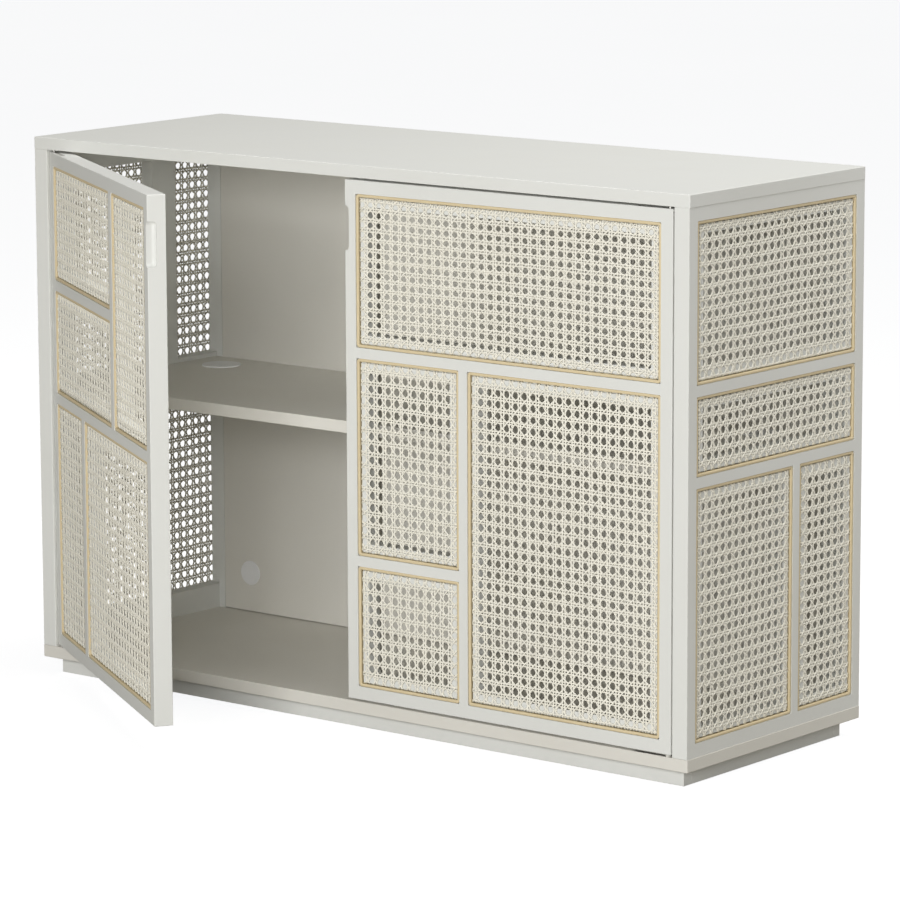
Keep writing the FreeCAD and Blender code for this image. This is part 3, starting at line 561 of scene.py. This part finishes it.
class Skein:
    """Gathers swept strips into one mesh, whose map runs along each strip and counts the strips."""

    MAP_EDGE, MAP_SPAN = 0.02, 0.96

    def __init__(self) -> None:
        """Start with no strips."""
        self.points: list[np.ndarray] = []
        self.faces: list[np.ndarray] = []
        self.maps: list[np.ndarray] = []
        self.count = 0
        self.strips = 0

    def sweep(
        self,
        path: np.ndarray,
        side: np.ndarray,
        width: np.ndarray,
        height: float,
        section: np.ndarray,
        closed: bool = False,
    ) -> None:
        """Sweep a section along a path.

        Args:
            path: The middle of the strip, one point a row.
            side: For each point, the way across the strip.
            width: The strip's width at each point.
            height: The strip's thickness.
            section: The outline, as shares of the width and of the thickness, clockwise along the path.
            closed: Whether the strip's ends join.
        """
        n, k = len(path), len(section)
        if closed:
            ahead = np.roll(path, -1, axis=0) - np.roll(path, 1, axis=0)
        else:
            ahead = np.gradient(path, axis=0)
        ahead /= np.linalg.norm(ahead, axis=1, keepdims=True)
        rise = np.cross(side, ahead)
        rise /= np.linalg.norm(rise, axis=1, keepdims=True)
        points = path[:, None, :] + side[:, None, :] * (section[None, :, :1] * width[:, None, None])
        points = points + rise[:, None, :] * (section[None, :, 1:] * height)
        rows = n if closed else n - 1
        i = np.arange(rows)[:, None]
        j = np.arange(k)[None, :]
        after = (i + 1) % n
        beside = (j + 1) % k
        quads = np.stack([i * k + j, i * k + beside, after * k + beside, after * k + j], axis=-1)
        quads = quads.reshape(-1, 4)
        run = np.concatenate([[0.0], np.cumsum(np.linalg.norm(np.diff(path, axis=0), axis=1))])
        if closed:
            run = np.append(run, run[-1] + np.linalg.norm(path[0] - path[-1]))
        here, there = run[:rows, None], run[1 : rows + 1, None]
        low = self.strips + self.MAP_EDGE + self.MAP_SPAN * j / k
        high = low + self.MAP_SPAN / k
        corners = [(here, low), (here, high), (there, high), (there, low)]
        spread = [np.stack(np.broadcast_arrays(u, v), axis=-1) for u, v in corners]
        strip_map = np.stack(spread, axis=2).reshape(-1, 2)
        if not closed and k == 4:
            last = (n - 1) * k
            quads = np.vstack([quads, [[3, 2, 1, 0], [last, last + 1, last + 2, last + 3]]])
            middle = self.strips + 0.5
            strip_map = np.vstack([strip_map, [[run[0], middle]] * 4, [[run[-1], middle]] * 4])
        self.points.append(points.reshape(-1, 3))
        self.faces.append(quads + self.count)
        self.maps.append(strip_map)
        self.count += n * k
        self.strips += 1

    def mesh(self, name: str) -> bpy.types.Mesh:
        """Turn the strips into a smooth mesh with its strand map.

        Args:
            name: The mesh's name.

        Returns:
            The new mesh.
        """
        points = np.vstack(self.points)
        quads = np.vstack(self.faces)
        mesh = bpy.data.meshes.new(name)
        mesh.vertices.add(len(points))
        mesh.vertices.foreach_set("co", points.astype(np.float32).ravel())
        mesh.loops.add(quads.size)
        mesh.loops.foreach_set("vertex_index", quads.astype(np.int32).ravel())
        mesh.polygons.add(len(quads))
        mesh.polygons.foreach_set("loop_start", np.arange(0, quads.size, 4, dtype=np.int32))
        mesh.polygons.foreach_set("use_smooth", np.ones(len(quads), dtype=bool))
        layer = mesh.uv_layers.new(name=STRAND_MAP)
        layer.data.foreach_set("uv", np.vstack(self.maps).astype(np.float32).ravel())
        mesh.update(calc_edges=True)
        mesh.validate()
        return mesh


@dataclass(frozen=True)
class Face:
    """A flat face that holds panels, with its own directions: across, up and out of it."""

    across: Vector
    up: Vector
    out: Vector
    opened: Matrix = field(default_factory=lambda: Matrix.Identity(4))

    def axes(self) -> np.ndarray:
        """The three directions, one a row."""
        return np.array([self.across, self.up, self.out])

    def extent(self, node: str) -> tuple[np.ndarray, np.ndarray]:
        """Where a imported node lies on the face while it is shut.

        Args:
            node: The node's name.

        Returns:
            Its lowest and highest across, up and out.
        """
        mesh = frame["nodes"][node].data
        points = np.empty(len(mesh.vertices) * 3, np.float32)
        mesh.vertices.foreach_get("co", points)
        shut = np.array(self.opened.inverted())
        points = points.reshape(-1, 3) @ shut[:3, :3].T + shut[:3, 3]
        local = points @ self.axes().T
        return local.min(axis=0), local.max(axis=0)

    def matrix(self) -> Matrix:
        """Takes across, up and out to the cabinet's own directions, with a door as open as it rests."""
        turn = Matrix((self.across, self.up, self.out)).transposed().to_4x4()
        return self.opened @ turn


def opened_by(joint: str) -> Matrix:
    """How a door stands at rest, from where its joint's lower limit shuts it.

    Args:
        joint: The joint's name.

    Returns:
        The turn from shut to rest.
    """
    found = next(j for j in frame["joints"] if j["name"] == joint)
    turn = Matrix.Rotation(math.radians(-found["range_deg"][0]), 4, Vector(found["axis"]))
    pin = Matrix.Translation(Vector(found["pos_m"]))
    return pin @ turn @ pin.inverted()


@dataclass(frozen=True)
class Weave:
    """How the cane is woven: pairs of uprights, pairs of crossing strands and a diagonal each way.

    The two strands of a pair stand upright_apart or cross_apart either side of its middle. They rise
    and dip by pair_rise where they cross, and the diagonals pass outside them by slant_rise. Each
    strand's ends turn down turn_depth into the groove, turn_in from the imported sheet's edge.
    """

    upright_width: float = 2.85 * MM
    upright_apart: float = 2.15 * MM
    cross_width: float = 2.65 * MM
    cross_apart: float = 1.85 * MM
    slant_width: float = 2.6 * MM
    thick: float = 0.55 * MM
    pair_rise: float = 0.29 * MM
    slant_rise: float = 0.57 * MM
    below_face: float = 2.55 * MM
    turn_in: float = 1.2 * MM
    turn_depth: float = 3.6 * MM
    margin: float = 1.5 * MM
    wander: float = 0.36 * MM
    drift: float = 0.35 * MM

    SECTION = np.array([(-0.5, -0.5), (-0.27, 0.5), (0.27, 0.5), (0.5, -0.5)])
    SHOULDER = 0.8 * MM
    LEVEL_AGAIN = 2.3 * MM
    END_CLEAR = 0.9 * MM
    SETTLE = 6 * MM
    SLANT_HELD = (-0.34, 0.0, 0.34)
    SLANT_CLEAR = 0.12
    SLANT_SHORTEST = 5 * MM
    DRIFT_WAVES = 5
    DRIFT_LENGTHS = (120, 320)
    DRIFT_PHASES = (0, 6.28)
    WANDER_LENGTHS = (45, 110)
    WIDTH_LENGTHS = (30, 80)


@dataclass(frozen=True)
class Edging:
    """The reed in its groove round a panel, measured from the panel's outline and the board's face."""

    sheet_edge: float = 4.9 * MM
    sheet_below: float = 1.7 * MM
    outer: float = 0.35 * MM
    inner: float = 4.5 * MM
    below_face: float = 0.5 * MM
    back: float = 7.3 * MM
    corner: float = 2.6 * MM
    corner_steps: int = 6
    step: float = 9.0 * MM
    wander: float = 0.05 * MM
    width_spread: float = 0.006

    SECTION = np.array([
        (-0.5, -1.0), (-0.5, -0.15), (-0.45, -0.07), (-0.33, -0.02), (-0.12, 0.0),
        (0.12, 0.0), (0.33, -0.02), (0.45, -0.07), (0.5, -0.15), (0.5, -1.0),
    ])


@dataclass
class Panel:
    """One framed panel: its woven cane sheet and the reed round it.

    pitch is the mesh of its cane across and up, and first_hole is the middle of the first hole from
    the panel's low corner.
    """

    name: str
    body: str
    face: Face
    reed_node: str
    pitch: tuple[float, float]
    first_hole: tuple[float, float]
    seed: int
    weave: Weave = field(default_factory=Weave)
    edging: Edging = field(default_factory=Edging)

    def __post_init__(self) -> None:
        """Read the panel's place from its packed cane node, and settle how its mesh drifts."""
        self.cane_node = f"cane_{self.name}"
        self.low, self.high = self.face.extent(self.cane_node)
        self.board = self.high[2] + self.edging.sheet_below
        self.rng = np.random.default_rng(self.seed)
        self.drifts = [self._drift_wave() for _ in range(Weave.DRIFT_WAVES)]

    # -- the cane

    def _drift_wave(self) -> tuple[np.ndarray, float, np.ndarray]:
        """One slow wave of the mesh's drift: its run, its phase and the way it moves strands."""
        run = self.rng.uniform(-1, 1, 2) * FULL_TURN / (self.rng.uniform(*Weave.DRIFT_LENGTHS) * MM)
        return run, self.rng.uniform(*Weave.DRIFT_PHASES), self.rng.normal(0, 0.7, 2)

    def _wave(self, run: np.ndarray, lengths: tuple[int, int]) -> np.ndarray:
        """A slow wave along a strand, of a length drawn from a range in millimetres."""
        length, phase = self.rng.uniform(*lengths) * MM, self.rng.uniform(0, FULL_TURN)
        return np.sin(run * 2 * math.pi / length + phase)

    def _strand_path(self, flat: np.ndarray, lift: np.ndarray) -> np.ndarray:
        """Lay a strand on the sheet and turn both its ends down into the groove.

        Args:
            flat: Points across and up, from edge to edge of the sheet.
            lift: How far each point stands out from the sheet's middle.

        Returns:
            The strand's middle line.
        """
        w = self.weave
        out = self.board - w.below_face
        body = np.column_stack([flat, out + lift])
        first, last = body[0].copy(), body[-1].copy()
        first[2] = last[2] = out - w.turn_depth
        return np.vstack([first, body, last])

    def _field(self, flat: np.ndarray) -> np.ndarray:
        """The slow drift of the whole mesh at some points, the same for every strand there."""
        moved = np.zeros_like(flat)
        for wave, phase, way in self.drifts:
            moved += way * np.sin(flat @ wave + phase)[:, None]
        return moved * self.weave.drift

    def _own_wander(self, run: np.ndarray) -> np.ndarray:
        """One strand's own offset and slow waver along its run."""
        offset = self.rng.normal(0.0, 0.7)
        return self.weave.wander * (offset + 0.6 * self._wave(run, Weave.WANDER_LENGTHS))

    def _widths(self, run: np.ndarray, width: float) -> np.ndarray:
        """One strand's width along its run."""
        wave = self._wave(run, Weave.WIDTH_LENGTHS)
        return width * (1 + self.rng.normal(0.0, 0.07) + 0.03 * wave)

    def _lay(self, skein: Skein, flat: np.ndarray, lift: np.ndarray, width: float) -> None:
        """Add one strand, shifted by the sheet's drift and its own wander.

        Args:
            skein: Where the strand goes.
            flat: Its straight line, across and up, from edge to edge.
            lift: How far each point stands out.
            width: The strand's usual width.
        """
        along = flat[-1] - flat[0]
        along = along / np.linalg.norm(along)
        side = np.array([along[1], -along[0]])
        run = (flat - flat[0]) @ along
        settled = np.clip(np.minimum(run, run[-1] - run) / Weave.SETTLE, 0, 1)
        moved = flat + (self._field(flat) + self._own_wander(run)[:, None] * side) * settled[:, None]
        path = self._strand_path(moved, lift)
        run = np.concatenate([[run[0]], run, [run[-1]]])
        sides = np.tile([side[0], side[1], 0.0], (len(path), 1))
        skein.sweep(path, sides, self._widths(run, width), self.weave.thick, Weave.SECTION)

    def _keys(
        self, centres: np.ndarray, offsets: list[tuple[float, float]], low: float, high: float
    ) -> tuple[np.ndarray, np.ndarray]:
        """Where a straight strand changes its height.

        Args:
            centres: The middles of the repeats along the strand.
            offsets: For each change, how far it is from a repeat's middle and the height there.
            low: Where the strand starts.
            high: Where it ends.

        Returns:
            The places along the strand, and the height at each.
        """
        places = np.concatenate([centres + step for step, _ in offsets])
        lifts = np.concatenate([np.full(len(centres), rise) for _, rise in offsets])
        order = np.argsort(places)
        places, lifts = places[order], lifts[order]
        inside = (places > low + Weave.END_CLEAR) & (places < high - Weave.END_CLEAR)
        places = np.concatenate([[low], places[inside], [high]])
        lifts = np.concatenate([[-self.weave.pair_rise], lifts[inside], [-self.weave.pair_rise]])
        return places, lifts

    def weave_sheet(self, workshop: Workshop) -> bpy.types.Object:
        """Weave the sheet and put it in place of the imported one.

        Args:
            workshop: What dresses it.

        Returns:
            The woven piece.
        """
        pitch = np.array(self.pitch)
        corner = self.low[:2] + self.weave.turn_in
        far = self.high[:2] - self.weave.turn_in
        outline = self.low[:2] - self.edging.sheet_edge
        hole = outline + np.array(self.first_hole)
        skein = Skein()
        counts = np.ceil((far - corner) / pitch).astype(int) + 3
        nodes = [hole[a] + (np.arange(-2, counts[a]) + 0.5) * pitch[a] for a in (0, 1)]
        self._lay_pairs(skein, 0, nodes, corner, far)
        self._lay_pairs(skein, 1, nodes, corner, far)
        for lean in (-1, 1):
            self._lay_slants(skein, lean, hole, corner, far)
        return self._place(skein.mesh(f"woven_{self.name}"), workshop, Slot.CANE, self.cane_node)

    def _lay_pairs(
        self, skein: Skein, way: int, nodes: list[np.ndarray], corner: np.ndarray, far: np.ndarray
    ) -> None:
        """Lay the straight pairs that run one way, each strand over one crossing strand and under the next.

        Args:
            skein: Where the strands go.
            way: 0 for uprights, 1 for crossing strands.
            nodes: The middles of the pairs, across and up.
            corner: The sheet's low corner.
            far: The sheet's high corner.
        """
        w = self.weave
        widths, aparts = (w.upright_width, w.cross_width), (w.upright_apart, w.cross_apart)
        own, other = way, 1 - way
        reach, rise = aparts[other], w.pair_rise
        rest = self.pitch[other] / 2 - Weave.LEVEL_AGAIN
        for middle in nodes[own]:
            for which in (-1, 1):
                at = middle + which * aparts[own]
                if not corner[own] + w.margin < at < far[own] - w.margin:
                    continue
                turn = which * rise * (1 if way == 0 else -1)
                offsets = [
                    (-reach - Weave.SHOULDER, turn), (-reach + Weave.SHOULDER, turn),
                    (reach - Weave.SHOULDER, -turn), (reach + Weave.SHOULDER, -turn),
                    (rest, 0.0), (-rest, 0.0),
                ]
                places, lifts = self._keys(nodes[other], offsets, corner[other], far[other])
                line = np.empty((len(places), 2))
                line[:, own], line[:, other] = at, places
                self._lay(skein, line, lifts, widths[own])

    def _lay_slants(
        self, skein: Skein, lean: int, hole: np.ndarray, corner: np.ndarray, far: np.ndarray
    ) -> None:
        """Lay the diagonals that lean one way, between the holes.

        Args:
            skein: Where the strands go.
            lean: 1 for strands that rise to the right, -1 for the others.
            hole: The middle of one hole.
            corner: The sheet's low corner.
            far: The sheet's high corner.
        """
        w, pitch = self.weave, np.array(self.pitch)
        reach = int(np.ceil(((far - corner) / pitch).sum())) + 4
        step = np.array([pitch[0] / 2, lean * pitch[1] / 2])
        turns = np.arange(-2 * reach, 2 * reach)
        over = np.where(turns % 2 == 0, 1.0, -1.0) * -lean
        places = np.concatenate([turns + share for share in Weave.SLANT_HELD])
        lifts = np.concatenate([over for _ in Weave.SLANT_HELD]) * w.slant_rise
        order = np.argsort(places)
        places, lifts = places[order], lifts[order]
        for row in range(-reach, reach):
            start = hole + np.array([pitch[0] / 2, row * pitch[1]])
            limits = np.sort([(corner - start) / step, (far - start) / step], axis=0)
            enter, leave = limits[0].max(), limits[1].min()
            if (leave - enter) * np.linalg.norm(step) < Weave.SLANT_SHORTEST:
                continue
            inside = (places > enter + Weave.SLANT_CLEAR) & (places < leave - Weave.SLANT_CLEAR)
            marks = np.concatenate([[enter], places[inside], [leave]])
            rises = np.concatenate([[-w.pair_rise], lifts[inside], [-w.pair_rise]])
            self._lay(skein, start + marks[:, None] * step, rises, w.slant_width)

    # -- the reed

    def bend_reed(self, workshop: Workshop) -> bpy.types.Object:
        """Bend one length of reed round the panel, with its ends meeting low down.

        Args:
            workshop: What dresses it.

        Returns:
            The reed piece.
        """
        e = self.edging
        width = e.inner - e.outer
        middle = (e.inner + e.outer) / 2
        low = self.low[:2] - e.sheet_edge + middle
        high = self.high[:2] + e.sheet_edge - middle
        path, side = self._ring(low, high)
        n = len(path)
        lift = np.full(n, self.board - e.below_face) - np.abs(self.rng.normal(0, 1, n)) * e.wander
        widths = width * (1 + self.rng.normal(0, e.width_spread, n))
        path, side = np.column_stack([path, lift]), np.column_stack([side, np.zeros(n)])
        skein = Skein()
        skein.sweep(path, side, widths, e.back - e.below_face, Edging.SECTION, closed=True)
        return self._place(skein.mesh(f"edging_{self.name}"), workshop, Slot.REED, self.reed_node)

    def _ring(self, low: np.ndarray, high: np.ndarray) -> tuple[np.ndarray, np.ndarray]:
        """A rectangle with bent corners, gone round with the panel on its left.

        Args:
            low: The rectangle's low corner.
            high: Its high corner.

        Returns:
            The points, and the way out of the ring at each.
        """
        e = self.edging
        points, sides = [], []
        bends = [
            (np.array([high[0] - e.corner, low[1] + e.corner]), -90),
            (np.array([high[0] - e.corner, high[1] - e.corner]), 0),
            (np.array([low[0] + e.corner, high[1] - e.corner]), 90),
            (np.array([low[0] + e.corner, low[1] + e.corner]), 180),
        ]
        for number, (centre, start) in enumerate(bends):
            angles = np.radians(start + np.linspace(0, 90, e.corner_steps + 1))
            ways = np.column_stack([np.cos(angles), np.sin(angles)])
            points.extend(centre + e.corner * ways)
            sides.extend(ways)
            begin = points[-1]
            finish = bends[(number + 1) % 4][0] + e.corner * ways[-1]
            steps = max(2, int(np.linalg.norm(finish - begin) / e.step))
            for share in np.arange(1, steps) / steps:
                points.append(begin + (finish - begin) * share)
                sides.append(ways[-1])
        return np.array(points), np.array(sides)

    def _place(self, mesh: bpy.types.Mesh, workshop: Workshop, slot: Slot, node: str) -> bpy.types.Object:
        """Put a mesh on the face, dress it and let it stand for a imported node.

        Args:
            mesh: The mesh, in the face's own directions.
            workshop: What dresses it.
            slot: The finish it takes.
            node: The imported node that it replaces.

        Returns:
            The piece.
        """
        mesh.transform(self.face.matrix())
        piece = bpy.data.objects.new(mesh.name, mesh)
        bpy.context.scene.collection.objects.link(piece)
        workshop.dress_piece(piece, slot)
        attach(piece, self.body)
        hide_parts(node)
        log.info("built %s: %d faces", piece.name, len(mesh.polygons))
        return piece


# ---- sub-assemblies

FRONT = Face(Vector((1, 0, 0)), Vector((0, 0, 1)), Vector((0, -1, 0)))
OPEN_FRONT = Face(Vector((1, 0, 0)), Vector((0, 0, 1)), Vector((0, -1, 0)), opened_by("left_door_hinge"))
RIGHT_SIDE = Face(Vector((0, 1, 0)), Vector((0, 0, 1)), Vector((1, 0, 0)))
LEFT_SIDE = Face(Vector((0, -1, 0)), Vector((0, 0, 1)), Vector((-1, 0, 0)))


@dataclass
class PanelledFrame:
    """A routed board with its cane panels: a door or a side of the cabinet.

    For each panel, meshes holds the pitch of its cane, across and up, and its first hole from the
    panel's low corner, across and up, all in millimetres.
    """

    name: str
    body: str
    face: Face
    nodes: tuple[str, ...]
    meshes: dict[str, tuple[float, float, float, float]]
    seed: int

    def build(self, workshop: Workshop) -> None:
        """Dress the board and its fittings, and make each panel."""
        for node in self.nodes:
            workshop.dress_node(node)
        for number, (name, (across, up, first_across, first_up)) in enumerate(self.meshes.items()):
            panel = Panel(
                name=f"{self.name}_{name}",
                body=self.body,
                face=self.face,
                reed_node=f"reed_{self.name}",
                pitch=(across * MM, up * MM),
                first_hole=(first_across * MM, first_up * MM),
                seed=self.seed + number,
            )
            panel.weave_sheet(workshop)
            panel.bend_reed(workshop)


@dataclass
class Carcass:
    """The fixed boards, the shelf, the plinth and everything that fastens them."""

    inside: tuple[str, ...] = ("bottom_board", "centre_post", "shelf", "back_panel")
    outside: tuple[str, ...] = ("top_board",)
    back: tuple[str, ...] = (
        "back_batten_left", "back_batten_right", "back_cable_caps", "back_screws", "batten_screws",
    )
    plinth: tuple[str, ...] = (
        "plinth_front", "plinth_back", "plinth_left", "plinth_right", "plinth_cross_rail", "plinth_screws",
    )
    fittings: tuple[str, ...] = (
        "shelf_pins", "shelf_cable_caps", "catch_magnets", "hinge_plates", "hinge_plate_screws",
        "hinge_washers", "carcass_screws", "carcass_dowels",
    )

    def build(self, workshop: Workshop) -> None:
        """Dress every fixed piece in place."""
        # the inside boards take the lacquer copy with painted shade
        for node in self.inside:
            workshop.dress_node(node, inside=True)
        for node in (*self.outside, *self.back, *self.plinth, *self.fittings):
            workshop.dress_node(node)


DOOR_PARTS = ("door_frame", "hinge_leaves", "hinge_leaf_screws", "strike_plates", "strike_screws")


def door_nodes(side: str) -> tuple[str, ...]:
    """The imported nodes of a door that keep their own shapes."""
    return tuple(f"{part}_{side}" for part in DOOR_PARTS)


# ---- the studio


@dataclass(frozen=True)
class Lamp:
    """A broad flat lamp that faces the middle of the cabinet. Angles are degrees and power is watts."""

    name: str
    azimuth: float
    elevation: float
    distance: float
    width: float
    height: float
    power: float
    aim: tuple[float, float, float] = (0.0, 0.0, 0.42)

    def hang(self) -> None:
        """Put the lamp up. Its azimuth turns from the cabinet's front towards its right side."""
        turn, lift = math.radians(self.azimuth), math.radians(self.elevation)
        way = Vector((math.sin(turn) * math.cos(lift), -math.cos(turn) * math.cos(lift), math.sin(lift)))
        data = bpy.data.lights.new(self.name, "AREA")
        data.shape = "RECTANGLE"
        data.energy, data.size, data.size_y = self.power, self.width, self.height
        lamp = bpy.data.objects.new(self.name, data)
        lamp.location = Vector(self.aim) + way * self.distance
        lamp.rotation_mode = "QUATERNION"
        lamp.rotation_quaternion = way.to_track_quat("Z", "Y")
        lamp.visible_camera = False
        bpy.context.scene.collection.objects.link(lamp)


@dataclass(frozen=True)
class Studio:
    """The pale floor, the soft light and the camera. Angles are degrees, and the lens is millimetres."""

    floor_size: float = 90.0
    sky: float = 0.22
    sky_colour: Colour = (1.0, 0.96, 0.87)
    lamps: tuple[Lamp, ...] = (
        Lamp("key", azimuth=20.0, elevation=12.0, distance=5.4, width=3.4, height=1.5, power=192.0),
        Lamp("top", azimuth=126.0, elevation=72.0, distance=3.6, width=2.2, height=2.2, power=86.0),
        Lamp("side", azimuth=122.0, elevation=12.0, distance=1.7, width=0.9, height=1.1, power=2.6),
    )
    camera_at: tuple[float, float, float] = (4.2121, -5.2137, 1.5586)
    turn: float = 38.787
    tilt: float = 10.0
    roll: float = -0.216
    lens: float = 187.05
    sensor: float = 36.0
    sight: float = 200.0

    def build(self, workshop: Workshop) -> None:
        """Set up the floor, the light and the camera."""
        self._floor(workshop)
        self._light()
        self._camera()

    def _floor(self, workshop: Workshop) -> None:
        """Lay a wide floor under the plinth."""
        half = self.floor_size / 2
        corners = [(-half, -half, 0), (half, -half, 0), (half, half, 0), (-half, half, 0)]
        mesh = bpy.data.meshes.new("floor")
        mesh.from_pydata(corners, [], [(0, 1, 2, 3)])
        floor = bpy.data.objects.new("floor", mesh)
        mesh.materials.append(Paper().make(workshop.effects))
        bpy.context.scene.collection.objects.link(floor)

    def _light(self) -> None:
        """A pale sky all round and the broad soft lamps."""
        scene = bpy.context.scene
        scene.view_settings.view_transform = "Standard"
        world = bpy.data.worlds.new("studio")
        world.use_nodes = True
        background = world.node_tree.nodes["Background"]
        background.inputs["Color"].default_value = opaque(self.sky_colour)
        background.inputs["Strength"].default_value = self.sky
        scene.world = world
        for lamp in self.lamps:
            lamp.hang()

    def _camera(self) -> None:
        """Place the camera and aim it by its turn, tilt and roll."""
        turn, tilt, roll = (math.radians(a) for a in (self.turn, self.tilt, self.roll))
        ahead = Vector((-math.sin(turn) * math.cos(tilt), math.cos(turn) * math.cos(tilt), -math.sin(tilt)))
        right = ahead.cross(Vector((0, 0, 1))).normalized()
        up = right.cross(ahead)
        level = Matrix((right, up, -ahead)).transposed()
        data = bpy.data.cameras.new("camera")
        data.lens, data.sensor_width = self.lens, self.sensor
        data.clip_end = self.sight
        camera = bpy.data.objects.new("camera", data)
        aimed = (level @ Matrix.Rotation(roll, 3, "Z")).to_4x4()
        camera.matrix_world = Matrix.Translation(self.camera_at) @ aimed
        bpy.context.scene.collection.objects.link(camera)
        bpy.context.scene.camera = camera


# ---- the cane's pitch and first hole in each panel

DOOR_RIGHT_MESHES = {
    "low": (15.2, 17.2, 6.6, 10.5),
    "middle": (15.4, 16.9, 10.1, 4.4),
    "tall": (15.3, 16.1, 6.6, 14.6),
    "top": (15.3, 14.0, 9.3, 6.6),
}
DOOR_LEFT_MESHES = {
    "low_narrow": (15.7, 15.4, 12.5, 8.5),
    "low_wide": (15.6, 16.5, 10.2, 9.0),
    "middle": (15.5, 15.5, 15.1, 3.8),
    "upper": (15.4, 15.2, 9.5, 9.0),
    "tall": (14.6, 16.3, 12.4, 8.0),
}
SIDE_RIGHT_MESHES = {
    "low_front": (15.9, 15.9, 2.2, 7.5),
    "low_rear": (16.0, 16.0, 13.3, 4.4),
    "band": (16.1, 16.4, 0.5, 8.4),
    "top": (16.1, 15.7, 15.7, 14.3),
}
SIDE_LEFT_MESHES = {
    "low": (15.9, 15.9, 4.0, 7.5),
    "top_rear": (16.0, 16.0, 6.0, 8.0),
    "top_front": (16.0, 16.0, 9.0, 8.0),
}


def main() -> None:
    """Build the cabinet's looks in order and write how large it comes out."""
    logging.basicConfig(level=logging.INFO, format="%(message)s")
    workshop = Workshop()
    Studio().build(workshop)
    Carcass().build(workshop)
    frames = (
        PanelledFrame("side_left", "cabinet", LEFT_SIDE, ("side_frame_left",), SIDE_LEFT_MESHES, 11),
        PanelledFrame("side_right", "cabinet", RIGHT_SIDE, ("side_frame_right",), SIDE_RIGHT_MESHES, 23),
        PanelledFrame("door_left", "left_door", OPEN_FRONT, door_nodes("left"), DOOR_LEFT_MESHES, 37),
        PanelledFrame("door_right", "right_door", FRONT, door_nodes("right"), DOOR_RIGHT_MESHES, 53),
    )
    for panelled in frames:
        panelled.build(workshop)


if __name__ == "__main__":
    main()
